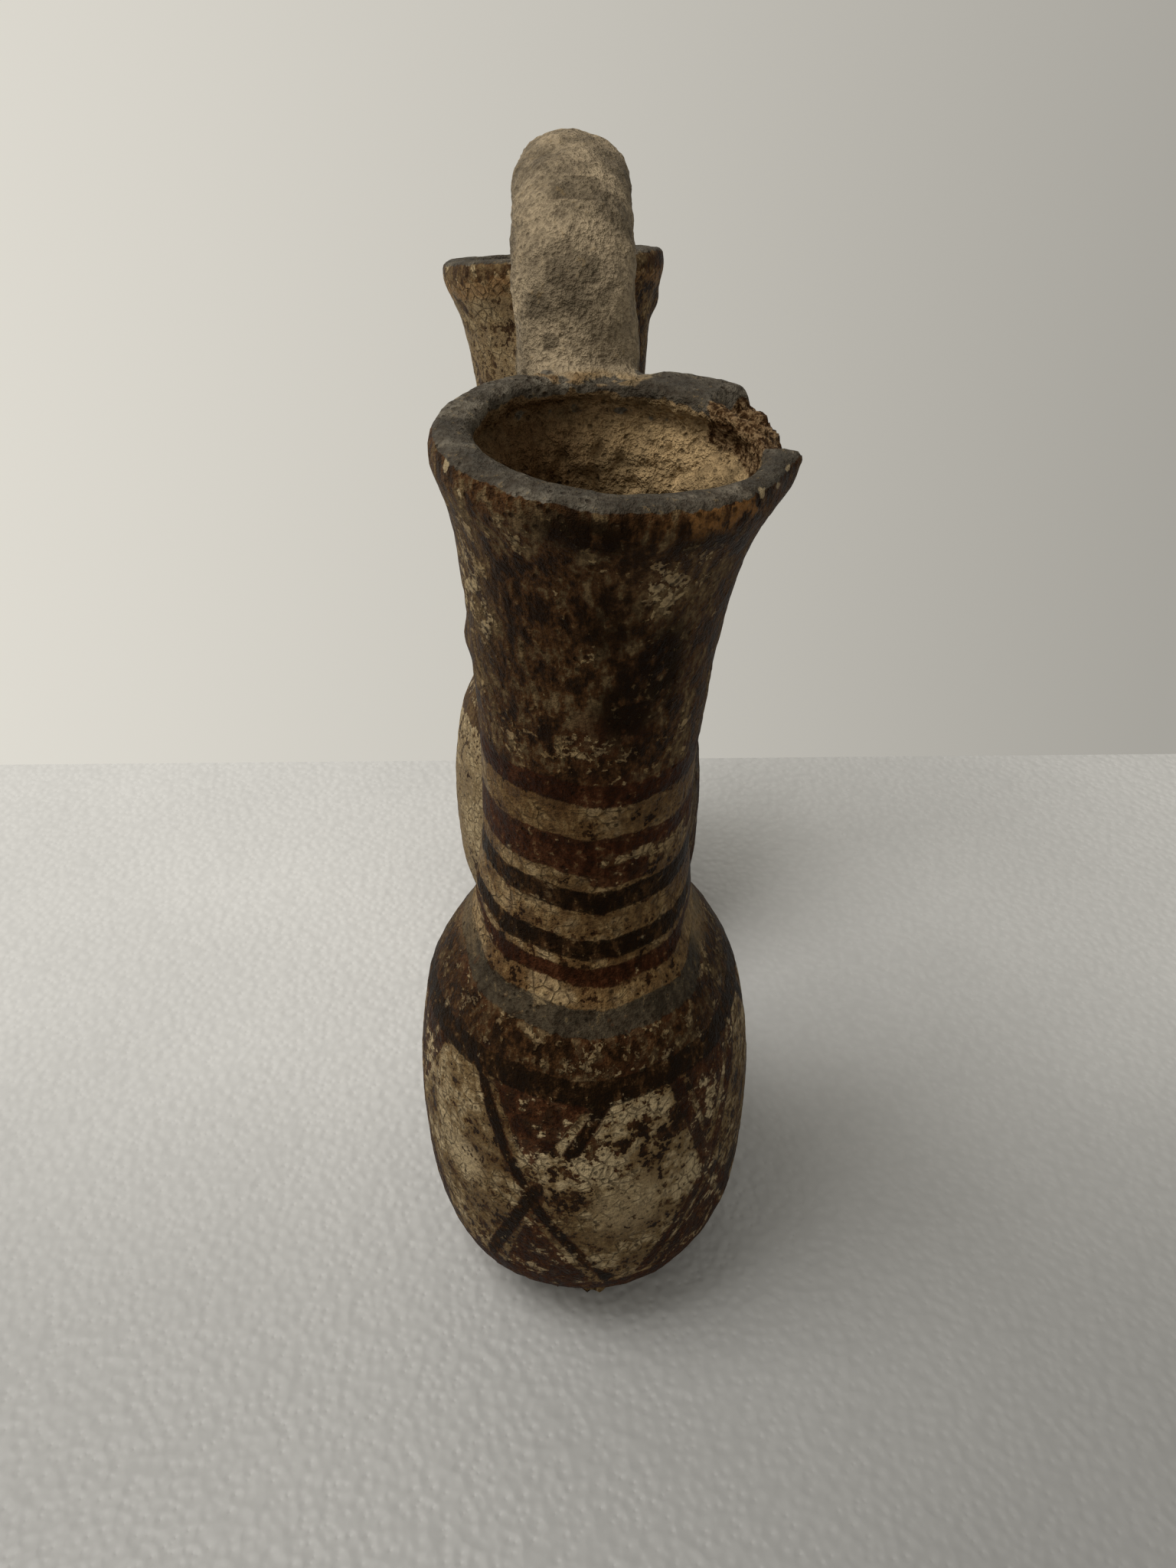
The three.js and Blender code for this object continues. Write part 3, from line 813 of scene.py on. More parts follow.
    def chip_foot(self, points, near, angle, radius, height):
        """Chips the lower edge of the near foot."""
        v = settings().vessel
        outwards = from_near_axis(v, points, height)
        outwards[:, 2] = 0
        low = 1 - smoothstep(height, 1.5 * MM, 6 * MM)
        edge = smoothstep(radius, v.foot_radius - 5 * MM, v.foot_radius - 1 * MM) * near
        ragged = 1 + 0.9 * cloud(points, 1.8 * MM, 11, 2)
        push = np.zeros(len(points))
        for at, half, depth in FOOT_CHIPS:
            push += depth * (1 - smoothstep(np.abs(apart(angle, at)), half * 0.5, half))
        return points - outwards * (push * low * edge * ragged)[:, None]

    def thin_out(self, obj):
        """Thins the mesh: strongly deep inside, where little is ever seen, and lightly elsewhere."""
        v = settings().vessel
        for name, kept in MESH_KEPT.items():
            _, _, radius, height = where_on_vessel(read_points(obj))
            inwards = outer_radius(v, height) - radius
            inside = (inwards > v.wall * 0.6) & (height > v.floor * 0.8)
            chosen = {
                "deep": inside & (height < v.neck_foot_height),
                "neck_inside": inside & (height >= v.neck_foot_height) & (height < v.throat_height),
                "outside": inwards < v.wall * 0.5,
            }
            self.thin(obj, name, chosen[name], kept)

    def thin(self, obj, name, chosen, kept):
        """Keeps this share of the triangles among the chosen vertices."""
        self.weigh(obj, name, chosen.astype(float))
        ratio = 1 - chosen.mean() * (1 - kept)
        finish_modifier(obj, "DECIMATE", ratio=ratio, vertex_group=name, use_collapse_triangulate=True)


def ring_of(shape, height):
    """A soft swelling right round the wall."""
    return shape["size"] * np.exp(-(((height - shape["height"]) / shape["spread"]) ** 2))


def from_near_axis(v, points, height):
    """Which way each point lies from the near pitcher's axis."""
    return unit(points - (axis_points(v, NEAR, height) + FRAME_SHIFT))


def off_middle(points):
    """How far each point is from the middle between the pitchers along X."""
    return np.abs(points[:, 0] - FRAME_SHIFT[0])


def in_hollow(v, radius, height, start, full):
    """0 on the outside and 1 inside, rising between these shares of the wall's thickness."""
    through = smoothstep(outer_radius(v, height) - radius, v.wall * start, v.wall * full)
    return through * smoothstep(height, v.floor * 0.5, v.floor * 0.9)


def on_handle(points, radius, height):
    """1 on the handle and 0 on the pitchers."""
    s = settings()
    v, h = s.vessel, s.handle
    off_wall = radius - outer_radius(v, height)
    away, _ = distance_to_path(points, handle_centreline(v, h))
    close = 1 - smoothstep(away, 0.62 * h.width, 0.75 * h.width)
    out = smoothstep(off_wall, 0.6 * MM, 2.4 * MM)
    above = smoothstep(height, v.mouth_height - 1.6 * MM, v.mouth_height - 0.4 * MM)
    return close * np.clip(out + above, 0, 1)


# Painted bands right round both pitchers, from the foot up: (paints, lower edge, upper edge) in mm.
BANDS = [
    (("red",), 11.5, 21.5),
    (("dark",), 80.6, 86.4),
    (("dark", "grey"), 95.5, 101.0),
    (("red",), 105.0, 108.8),
    (("dark",), 110.8, 115.5),
    (("dark",), 122.5, 128.0),
    (("red",), 132.0, 141.5),
    (("red",), 149.8, 154.9),
]
# The wide red band steps up on the near neck, beside two cream fields: (left, foot, right, top) in mm.
BAND_STEP = (0.0, 129.0, 13.0, 142.0)
CREAM_FIELDS = [(2.0, 134.6, 14.0, 137.6), (13.0, 129.0, 26.0, 137.0)]
# How much of these fields the slip covers, how wide one degree is on the neck, and how far the
# front reaches to each side in degrees.
FIELD_SLIP = 0.5
NECK_MM_PER_DEGREE = 0.40
FRONT_REACH = 75
# The bands rise by this many mm at the sides of the near neck's foot, between these angles away
# from the front and these heights.
SIDE_BANDS = {"rise": 2.0, "turn": (45, 90), "from": 0.088, "to": 0.112}
PAINTS = ("dark", "red", "grey")
# How far inside and outside a paint's edge is told, in mm.
PAINT_REACH = 4.0
# How much of the wall the cream slip covers, by height in mm: (from, to, amount). 0 is about half.
SLIP = [
    (0.0, 11.0, 0.5),
    (21.0, 81.5, 1.0),
    (86.0, 95.5, -0.95),
    (100.0, 105.6, 1.5),
    (108.2, 111.4, 1.5),
    (114.8, 123.0, 1.6),
    (127.3, 133.0, 1.5),
    (140.5, 150.0, 1.9),
    (155.0, 166.0, -0.8),
    (166.0, 207.0, -1.9),
]
NO_SLIP = -4.0
# The far neck has this much more slip above this height in mm.
FAR_NECK_SLIP = 2.6
FAR_NECK_SLIP_FROM = 150
# Spots: (near pitcher or not, angle, height in mm, half width in degrees, half height in mm, amount).
SLIP_SPOTS = [
    (True, 24, 199, 30, 12, 1.2),
    (True, 27, 71, 15, 9, -1.0),
    (True, 62, 38, 20, 22, -1.4),
    (True, -76, 62, 14, 14, -0.7),
    (True, -62, 190, 26, 20, 1.1),
]
WORN_SPOTS = [
    (True, -6, 60, 10, 8, 5.0),
    (False, -82, 62, 60, 62, 6.0),
]
# Darker spots, with the columns of the spots above: on the near neck, under the front of its lip and
# towards the far neck. The far pitcher's two are painted shade on its right, where the near pitcher shadows
# it.
STAINS_AND_SHADE = [
    (True, 14, 172, 19, 12, 1.0),
    (True, 28, 180, 16, 14, 1.0),
    (True, 4, 190, 14, 9, 0.75),
    (True, -8, 207.5, 24, 5, 1.0),
    (True, 30, 205.5, 24, 2.6, 0.8),
    (True, -45, 176, 22, 18, 0.25),
    (True, 150, 160, 30, 24, 0.6),
    (False, 60, 170, 40, 26, 0.7),
    (False, 85, 95, 55, 75, 0.85),
]
PALE_PATCHES = [
    (True, 24, 199, 30, 12, 0.30),
    (True, -45, 53, 13, 8, 1.2),
    (True, 13, 51, 15, 11, 0.75),
    (True, -62, 190, 24, 22, 0.5),
]
LIP_CHIPS = [
    (True, -60, 210.0, 1.9, 1.0, 1.0),
    (True, -52, 208.2, 1.7, 0.9, 1.0),
    (True, 52, 211.2, 2.4, 1.0, 1.0),
    (True, 62, 210.2, 2.2, 1.1, 1.0),
    (True, 73, 210.8, 2.4, 1.0, 1.0),
    (True, -128, 210.5, 2.4, 1.0, 1.0),
]
RUST_SPOTS = [(True, 38, 209.8, 27, 3.4, 1.0)]
# Dark smudges on the handle: (place along it, place across it, half length, half width), as shares.
SMUDGES = [
    (0.385, 0.15, 0.024, 0.62),
    (0.314, -0.02, 0.023, 0.54),
    (0.298, -0.58, 0.014, 0.24),
    (0.268, -0.40, 0.010, 0.16),
    (0.680, 0.10, 0.040, 0.60),
]
# Hourglasses: (middle, top left, top right, foot left, foot right) in degrees, and the crossing in mm.
HOURGLASSES = [
    (-18, -20, 24, -16, 25, 52),
    (44, -13, 22, -25, 20, 50),
    (102, -22, 20, -19, 22, 53),
    (163, -19, 21, -20, 20, 50),
    (222, -20, 22, -18, 19, 52),
    (283, -21, 18, -20, 21, 54),
]
# The grey of the near lip's back reaches this far to each side, in degrees.
LIP_BACK_REACH = 75
# The hourglasses' lines are this wide, and their filled triangles keep this far off them, in mm.
LINE_WIDTH = 3.3
FILL_GAP = 3.4
# The far belly's panels are turned by this many degrees. Heights and the belly's radius are in mm.
FAR_PANEL_TURN = 31
PANEL_TOP = 81.5
PANEL_FOOT = 21.0
BELLY_MM = 39.0


def stroke(x, y, start, end, width):
    """How far inside a painted line each point is, in mm. Negative outside."""
    (x0, y0), (x1, y1) = start, end
    dx, dy = x1 - x0, y1 - y0
    share = np.clip(((x - x0) * dx + (y - y0) * dy) / (dx * dx + dy * dy), 0, 1)
    return width / 2 - np.hypot(x - x0 - share * dx, y - y0 - share * dy)


def patch(x, y, corners):
    """How far inside a painted patch with straight edges each point is, in mm. Negative outside."""
    inside = np.full(len(x), np.inf)
    for (x0, y0), (x1, y1) in zip(corners, corners[1:] + corners[:1]):
        dx, dy = x1 - x0, y1 - y0
        inside = np.minimum(inside, ((x - x0) * -dy + (y - y0) * dx) / math.hypot(dx, dy))
    return inside


def hourglass(angle, level, shape):
    """The crossed lines and the two filled triangles of one hourglass: (lines, fill)."""
    middle, top_left, top_right, foot_left, foot_right, cross = shape
    across = math.radians(1) * BELLY_MM
    x = apart(angle, middle) * across
    corners = [(at * across, PANEL_TOP) for at in (top_left, top_right)]
    corners += [(at * across, PANEL_FOOT + 3) for at in (foot_left, foot_right)]
    lines = np.maximum.reduce([stroke(x, level, (0.0, cross), corner, LINE_WIDTH) for corner in corners])
    left, right, low_left, low_right = (corner[0] for corner in corners)
    top = patch(x, level, [
        (0.0, cross + 6 + FILL_GAP), (right - FILL_GAP, PANEL_TOP), (left + FILL_GAP, PANEL_TOP)
    ])
    foot = PANEL_FOOT + 1
    low = patch(x, level, [
        (0.0, cross - 2 - FILL_GAP), (low_left + FILL_GAP, foot), (low_right - FILL_GAP, foot)
    ])
    return lines, np.maximum(top, low)


def front_field(near, angle, level, edges):
    """How far inside a rectangle at the front of the near neck each point is, in mm."""
    left, foot, right, top = edges
    run = apart(angle, 0) * NECK_MM_PER_DEGREE
    inside = patch(run, level, [(left, foot), (right, foot), (right, top), (left, top)])
    return np.where(near & (np.abs(apart(angle, 0)) < FRONT_REACH), inside, -PAINT_REACH)


def paint_fields(near, angle, level, band_level):
    """How far inside each paint's edge every point is, in mm, by the paint's name."""
    fields = {paint: np.full(len(level), -PAINT_REACH) for paint in PAINTS}

    def add(paint, field):
        """Adds a painted form to its paint."""
        fields[paint] = np.maximum(fields[paint], np.clip(field, -PAINT_REACH, PAINT_REACH))

    for paints, low, high in BANDS:
        for paint in paints:
            add(paint, np.minimum(band_level - low, high - band_level))
    add("red", front_field(near, angle, level, BAND_STEP))
    for edges in CREAM_FIELDS:
        cleared = np.clip(-front_field(near, angle, level, edges), -PAINT_REACH, PAINT_REACH)
        fields["red"] = np.minimum(fields["red"], cleared)
    panel_angle = apart(angle, FAR_PANEL_TURN * ~near)
    for i, shape in enumerate(HOURGLASSES):
        lines, fill = hourglass(panel_angle, level, shape)
        add("red", np.maximum(lines, fill))
        if i % 2 == 0:
            add("dark", lines - 0.3)
    worn = sum(spots(WORN_SPOTS, near, angle, level))
    fields["dark"] = fields["dark"] - worn
    fields["red"] = fields["red"] - worn
    return fields


def slip_cover(points, near, angle, level, band_level):
    """How much of the wall the cream slip covers. 0 is about half of it."""
    slip = np.full(len(level), NO_SLIP)
    for low, high, amount in SLIP:
        slip = np.where((band_level >= low) & (band_level < high), amount, slip)
    for edges in CREAM_FIELDS:
        slip = np.where(front_field(near, angle, level, edges) > 0, FIELD_SLIP, slip)
    slip = slip + sum(spots(SLIP_SPOTS, near, angle, level))
    slip = slip + FAR_NECK_SLIP * (level > FAR_NECK_SLIP_FROM) * ~near
    return slip + 0.3 * even_out(cloud(points, 28 * MM, 23, 2)) * (level < PANEL_TOP)


def on_lip(normals, near, angle, radius, height):
    """1 on the flat top of both lips, on their inner edge, and on the outer edge of the near one's back."""
    v = settings().vessel
    rings = np.where(near[:, None], ring_normals(v, NEAR, height), ring_normals(v, FAR, height))
    upwards = np.sum(normals * rings, axis=1)
    inner_half = radius < outer_radius(v, height) - v.lip_thickness / 2
    behind = near & (np.abs(apart(angle, 180)) < LIP_BACK_REACH)
    top = smoothstep(height, v.mouth_height - 7.5 * MM, v.mouth_height - 5.5 * MM)
    return top * smoothstep(upwards + 0.5 * (inner_half | behind), 0.45, 0.75)


def paint_maps(points, normals):
    """How each vertex is painted. The paints are in mm inside their edge, the rest from 0 to 1."""
    v = settings().vessel
    near, angle, radius, height = where_on_vessel(points)
    handle = on_handle(points, radius, height)
    lip = on_lip(normals, near, angle, radius, height) * (1 - handle)
    inside = in_hollow(v, radius, height, 0.30, 0.60) * (1 - lip)
    bridge = (off_middle(points) < v.spacing / 2 - v.belly_radius - 1 * MM) & (height < 0.09)
    bare = np.maximum(np.maximum(handle, inside), bridge)
    wobble = 0.55 * np.sin(np.radians(3 * angle + 40 * near)) + 0.35 * np.sin(np.radians(7 * angle) + 1.3)
    level = height / MM + wobble
    beside = smoothstep(np.abs(apart(angle, 0)), *SIDE_BANDS["turn"])
    beside = beside * (height > SIDE_BANDS["from"]) * (height < SIDE_BANDS["to"])
    band_level = level - SIDE_BANDS["rise"] * beside * near
    outer_edge = smoothstep(radius, v.mouth_radius - 2 * MM, v.mouth_radius - 0.6 * MM)
    maps = {
        f"{paint}_paint": np.where(bare > 0.5, -PAINT_REACH, field)
        for paint, field in paint_fields(near, angle, level, band_level).items()
    }
    slip = slip_cover(points, near, angle, level, band_level)
    maps["slip"] = np.where(bare > 0.5, NO_SLIP, slip)
    maps["broad"] = even_out(cloud(points, 9 * MM, 21, 4))
    maps["wide"] = even_out(cloud(points, 28 * MM, 22, 2))
    maps["dirt"] = 0.62 * smoothstep(level, 82, 90) + 0.5 * (1 - smoothstep(level, 22, 34))
    maps["flaking"] = 1 - smoothstep(level, 77, 82)
    maps["chips"] = np.maximum.reduce(spots(LIP_CHIPS, near, angle, level)) * outer_edge
    maps["handle"] = handle
    maps["inside"] = inside
    # Painted shade on the left side of the hollows, which faces away from the key light.
    maps["inside_shade"] = inside * (1 - smoothstep(np.abs(apart(angle, -120)), 25, 85))
    maps["lip"] = lip
    # Darker spots, and painted shade on the right of the far pitcher where the near one shadows it.
    maps["stain_and_shade"] = stains_and_shade(near, angle, level) * (1 - bare)
    # Paler patches, and painted light on the far pitcher's left side.
    maps["pale"] = pale_patches(near, angle, level) * (1 - bare)
    maps["broken"] = broken_clay(near, angle, radius, height) * (1 - handle)
    maps["rust"] = rust(near, angle, level) * (1 - bare)
    maps["smudge"] = smudges(points) * handle
    return maps


def even_out(values):
    """Noise moved and scaled to middle 0 and spread 1."""
    return np.clip((values - values.mean()) / values.std(), -3, 3)


def blot(angle, level, at, at_level, wide, tall):
    """A soft oval spot: 1 in its middle and 0 outside."""
    away = np.hypot(apart(angle, at) / wide, (level - at_level) / tall)
    return 1 - smoothstep(away, 0.35, 1.1)


def spots(table, near, angle, level):
    """The soft spots of a table, one array for each row."""
    return [
        amount * blot(angle, level, at, at_level, wide, tall) * (near == on_near)
        for on_near, at, at_level, wide, tall, amount in table
    ]


def stains_and_shade(near, angle, level):
    """Darker spots on the near neck, also under the front of its lip, a smoky ring on the near shoulder,
    and painted shade on the right of the far neck and far belly, where the near pitcher shadows them.
    """
    ring = 0.45 * np.clip(np.minimum(level - 86, 95 - level), 0, 1) * near
    return np.maximum(ring, np.maximum.reduce(spots(STAINS_AND_SHADE, near, angle, level)))


def pale_patches(near, angle, level):
    """Where the wall is paler: under the near lip, on the near belly, and as painted light on the left side
    of the far pitcher, which faces the key light.
    """
    # The far pitcher's left side is painted lighter: painted light from the key light on the left.
    side = 0.5 * ~near * (1 - smoothstep(angle, 0, 50))
    return np.maximum(side, np.maximum.reduce(spots(PALE_PATCHES, near, angle, level)))


def rust(near, angle, level):
    """Orange-brown clay under the near lip on the right, and a strip under the far lip."""
    strip = 0.6 * np.clip(np.minimum(level - 202.5, 208.0 - level), 0, 1) * ~near
    return np.maximum(strip, np.maximum.reduce(spots(RUST_SPOTS, near, angle, level)))


def broken_clay(near, angle, radius, height):
    """1 on the broken stretch of the near lip."""
    v = settings().vessel
    along = np.abs(apart(angle, LIP_BREAK["middle"]))
    stretch = 1 - smoothstep(along, LIP_BREAK["half"] - 1, LIP_BREAK["half"] + 4)
    inner_edge = v.mouth_radius - v.lip_thickness
    across = smoothstep(radius, inner_edge + 0.3 * MM, inner_edge + 2 * MM)
    high = smoothstep(height, v.mouth_height - 9 * MM, v.mouth_height - 6 * MM)
    return stretch * across * near * high


def smudges(points):
    """Dark smudges on the handle, mostly on its near side."""
    s = settings()
    path = handle_centreline(s.vessel, s.handle)
    _, station = distance_to_path(points, path)
    share = station / HANDLE_STEPS
    side = (points[:, 1] - path[station, 1]) / (s.handle.width / 2)
    found = np.zeros(len(points))
    for at, across, long, wide in SMUDGES:
        away = np.hypot((share - at) / long, (side - across) / wide)
        found = np.maximum(found, 1 - smoothstep(away, 0.4, 1.1))
    return found


# How far a noise texture's values spread about their middle.
NOISE_SPREAD = 0.085
# The streaks on the wall are drawn out upwards by this.
STREAK_SHAPE = (1.0, 1.0, 0.45)
# The height of the finest relief, in metres.
RELIEF = 0.0006
# The clay is dull, and what it reflects is tinted by it.
CLAY_SPECULAR = 0.08
CLAY_SPECULAR_TINT = (1.0, 0.62, 0.34, 1.0)


class Nodes:
    """Builds a node tree with short calls."""

    def __init__(self, material):
        """Clears the material's nodes and starts from the object's own coordinates."""
        material.use_nodes = True
        self.tree = material.node_tree
        self.tree.nodes.clear()
        self.place = self.add("ShaderNodeTexCoord").outputs["Object"]

    def add(self, kind, inputs=None, **choices):
        """A node with its inputs set or linked."""
        made = self.tree.nodes.new(kind)
        for name, value in choices.items():
            setattr(made, name, value)
        for name, value in (inputs or {}).items():
            if isinstance(value, bpy.types.NodeSocket):
                self.tree.links.new(value, made.inputs[name])
            else:
                made.inputs[name].default_value = value
        return made

    def attribute(self, name):
        """A number stored on the piece's vertices."""
        return self.add("ShaderNodeAttribute", attribute_name=name).outputs["Fac"]

    def noise(self, scale, detail, roughness, place=None):
        """Noise from 0 to 1."""
        return self.add("ShaderNodeTexNoise", {
            "Vector": place or self.place, "Scale": scale, "Detail": detail, "Roughness": roughness,
        }).outputs["Fac"]

    def cells(self, scale, feature="F1"):
        """Distance to cell points or edges."""
        return self.add("ShaderNodeTexVoronoi", {
            "Vector": self.place, "Scale": scale,
        }, feature=feature).outputs["Distance"]

    def math(self, operation, a, b):
        """One sum."""
        return self.add("ShaderNodeMath", {0: a, 1: b}, operation=operation).outputs[0]

    def times(self, a, b):
        """Two numbers multiplied."""
        return self.math("MULTIPLY", a, b)

    def total(self, *terms):
        """The sum of (number, share) pairs."""
        parts = [value if share == 1 else self.times(value, share) for value, share in terms]
        return reduce(lambda a, b: self.math("ADD", a, b), parts)

    def rest(self, a):
        """What a number lacks of 1."""
        return self.math("SUBTRACT", 1.0, a)

    def without(self, a, b):
        """a where b isn't."""
        return self.times(a, self.rest(b))

    def spread(self, value):
        """Noise moved and scaled to middle 0 and spread 1."""
        return self.math("DIVIDE", self.math("SUBTRACT", value, 0.5), NOISE_SPREAD)

    def rise(self, value, low, high, to_low=0.0, to_high=1.0):
        """A smooth rise between two values."""
        return self.add("ShaderNodeMapRange", {
            "Value": value, "From Min": low, "From Max": high, "To Min": to_low, "To Max": to_high,
        }, interpolation_type="SMOOTHSTEP").outputs["Result"]

    def mix(self, share, a, b, blend="MIX"):
        """Two colours mixed."""
        made = self.add("ShaderNodeMix", data_type="RGBA", blend_type=blend)
        for index, value in ((0, share), (6, a), (7, b)):
            if isinstance(value, bpy.types.NodeSocket):
                self.tree.links.new(value, made.inputs[index])
            elif index == 0:
                made.inputs[0].default_value = value
            else:
                made.inputs[index].default_value = (*value, 1.0)
        return made.outputs[2]

    def ramp(self, value, stops):
        """A colour that runs through stops of (place, colour)."""
        made = self.add("ShaderNodeValToRGB", {"Fac": value})
        elements = made.color_ramp.elements
        while len(elements) < len(stops):
            elements.new(0.5)
        for element, (at, tone) in zip(elements, stops):
            element.position = at
            element.color = (*tone, 1.0)
        return made.outputs["Color"]

    def edge(self, name, ragged, softness):
        """1 inside a painted edge, with the edge made ragged by noise."""
        field = self.total((self.attribute(name), 1), (ragged, 1))
        return self.rise(field, -softness, softness)

    def finish(self, **inputs):
        """The surface with its colour, roughness and relief."""
        surface = self.add("ShaderNodeBsdfPrincipled", {k.replace("_", " "): x for k, x in inputs.items()})
        self.add("ShaderNodeOutputMaterial", {"Surface": surface.outputs["BSDF"]})


def shade(colour_value, factor):
    """A colour made lighter or darker."""
    return tuple(min(1.0, c * factor) for c in colour_value)


class ClayPatterns:
    """The patterns that the layers of the painted clay share."""

    def __init__(self, n):
        """Adds them to a material's nodes."""
        stretched = n.add("ShaderNodeVectorMath", {0: n.place, 1: STREAK_SHAPE}, operation="MULTIPLY")
        self.broad = n.attribute("broad")
        self.wide = n.attribute("wide")
        self.pale = n.attribute("pale")
        self.middle = n.spread(n.noise(330, 3, 0.6))
        self.small = n.spread(n.noise(1000, 2, 0.6))
        self.streak = n.spread(n.noise(460, 3, 0.62, place=stretched.outputs[0]))
        self.mottle = n.total((self.middle, 0.8), (self.small, 0.45))
        self.wear = n.total((self.middle, 0.8), (self.small, 0.3))
        self.tone = n.total((self.broad, 0.50), (self.streak, 0.75), (self.small, 0.18))


def bare_clay(n, p, g):
    """The colour of the unpainted wall, ruddy in places."""
    clay = n.ramp(n.rise(g.tone, -1.6, 2.4), [
        (0.0, p.clay_dark), (0.42, p.clay), (0.68, shade(p.clay_light, 0.60)), (0.95, p.clay_light)
    ])
    ruddy = n.times(n.rise(g.wide, 0.1, 1.3), n.rise(g.broad, -1.0, 0.8))
    clay = n.mix(n.times(ruddy, 0.55), clay, shade(p.red_light, 0.9))
    paler = n.ramp(n.rise(g.tone, -1.8, 2.0), [
        (0.0, shade(p.clay, 0.8)), (0.45, shade(p.clay_light, 0.75)), (0.95, p.cream)
    ])
    return n.mix(n.times(g.pale, 0.9), clay, paler)


def cream_slip(n, p, g):
    """The colour of the cream slip, clean or dirty."""
    cleanness = n.total((g.middle, 0.50), (g.broad, 0.65), (g.wide, 0.35))
    slip = n.ramp(n.rise(cleanness, -1.9, 2.1), [
        (0.0, p.cream_dark), (0.50, p.cream), (1.0, p.cream_light)
    ])
    slip = n.mix(n.times(g.pale, 0.6), slip, p.cream_light)
    dirty = n.ramp(n.rise(g.tone, -1.9, 2.1), [
        (0.0, shade(p.clay, 0.9)), (0.5, shade(p.cream_dark, 1.55)), (1.0, shade(p.cream, 1.6))
    ])
    return n.mix(n.times(n.attribute("dirt"), n.rise(g.pale, 0.0, 0.8, 1.0, 0.1)), slip, dirty)


def painted(n, p, g, now):
    """The wall with the red and dark paints, which have peeled in places: (colour, red, dark)."""
    peeled = n.total((g.wear, 1), (g.broad, 0.5), (n.attribute("flaking"), 0.75))
    kept = n.rest(n.rise(peeled, 1.6, 2.2))
    red = n.times(n.edge("red_paint", n.times(g.mottle, 0.22), 0.22), kept)
    red_tone = n.ramp(n.rise(g.tone, -1.8, 2.0), [
        (0.0, shade(p.red, 0.5)), (0.45, p.red), (0.95, p.red_light)
    ])
    now = n.mix(n.times(red, 0.93), now, red_tone)
    half_kept = n.math("ADD", 0.5, n.times(kept, 0.5))
    dark = n.times(n.edge("dark_paint", n.times(g.mottle, 0.20), 0.20), half_kept)
    dark_tone = n.ramp(n.rise(g.tone, -1.8, 2.0), [
        (0.0, shade(p.black, 0.5)), (0.55, p.black), (1.0, shade(p.clay, 0.7))
    ])
    grey = n.edge("grey_paint", n.times(g.mottle, 0.3), 0.3)
    dark_tone = n.mix(n.times(grey, n.rise(g.tone, -1.2, 0.8, 0.45, 0.9)), dark_tone, p.slate)
    return n.mix(n.times(dark, 0.93), now, dark_tone), red, dark


def smoked(n, p, g, now):
    """The wall with its darker spots, painted shade on the far pitcher's right, and orange-brown spots."""
    # The darker spots, and the painted shade on the far pitcher's right, darken the wall.
    stain_and_shade = n.times(n.attribute("stain_and_shade"), n.rise(n.total((g.broad, 0.6), (g.middle, 1)), -2.1, -0.3))
    now = n.mix(n.times(stain_and_shade, 0.93), now, shade(p.clay_dark, 0.35))
    orange = n.times(n.attribute("rust"), n.rise(n.total((g.middle, 1), (g.broad, 0.4)), -1.1, 0.3))
    return n.mix(n.times(orange, 0.85), now, p.rust)


def slip_cracks(n, g, cream, red, dark):
    """1 on the fine cracks of the unpainted slip."""
    cracks = n.rest(n.rise(n.cells(330, "DISTANCE_TO_EDGE"), 0.015, 0.075))
    cracks = n.times(n.times(cracks, cream), n.rise(n.total((g.broad, 1), (g.middle, 0.4)), -0.6, 0.9))
    return n.without(n.without(cracks, red), dark)


def handle_clay(n, p, g):
    """The colour of the handle's bare clay, with its dark smudges."""
    clay = n.ramp(n.rise(n.total((g.broad, 0.8), (g.wear, 0.32)), -2.3, 2.2), [
        (0.0, shade(p.handle, 0.50)), (0.36, shade(p.handle, 0.82)), (0.60, shade(p.handle, 1.04)),
        (1.0, shade(p.handle, 1.40)),
    ])
    smudge = n.total((n.attribute("smudge"), 1), (g.middle, 0.10), (g.broad, 0.12))
    return n.mix(n.times(n.rise(smudge, 0.35, 0.65), 0.65), clay, shade(p.handle, 0.30))


def hollow_clay(n, p, g):
    """The colour of the rough clay inside, with painted shade on its left side."""
    clay = n.ramp(n.rise(n.total((g.broad, 0.8), (g.middle, 0.3)), -2.1, 2.2), [
        (0.0, shade(p.hollow, 0.45)), (0.40, shade(p.hollow, 0.85)), (0.65, shade(p.hollow, 1.08)),
        (1.0, shade(p.hollow, 1.35)),
    ])
    # Painted shade, patchy, on the left side of the hollow.
    patchy = n.rise(n.total((g.broad, 1), (g.middle, 0.4)), -1.8, 0.8, 0.45, 0.85)
    return n.mix(n.times(n.attribute("inside_shade"), patchy), clay, shade(p.clay, 1.1))


def lip_clay(n, p, g):
    """The colour of the smoked grey lips."""
    return n.ramp(n.rise(n.total((g.broad, 0.8), (g.wear, 0.5)), -2.0, 2.4), [
        (0.0, shade(p.grey, 0.55)), (0.55, p.grey), (1.0, shade(p.grey, 2.0))
    ])


def broken_layers(n, p, g):
    """The colour of the clay's layers where the lip is broken."""
    return n.ramp(n.rise(n.total((g.small, 1), (g.middle, 0.5)), -1.6, 1.8), [
        (0.0, shade(p.clay, 0.5)), (0.45, p.broken), (1.0, p.broken_light)
    ])


def clay_pits(n, g, handle):
    """1 in the small pits of the wall, which are fewer on the handle."""
    pits = n.rest(n.rise(n.cells(560), 0.12, 0.34))
    pits = n.times(pits, n.rise(n.total((g.middle, 1), (g.broad, 0.5)), 0.1, 0.9))
    return n.times(pits, n.rise(handle, 0.0, 1.0, 1.0, 0.45))


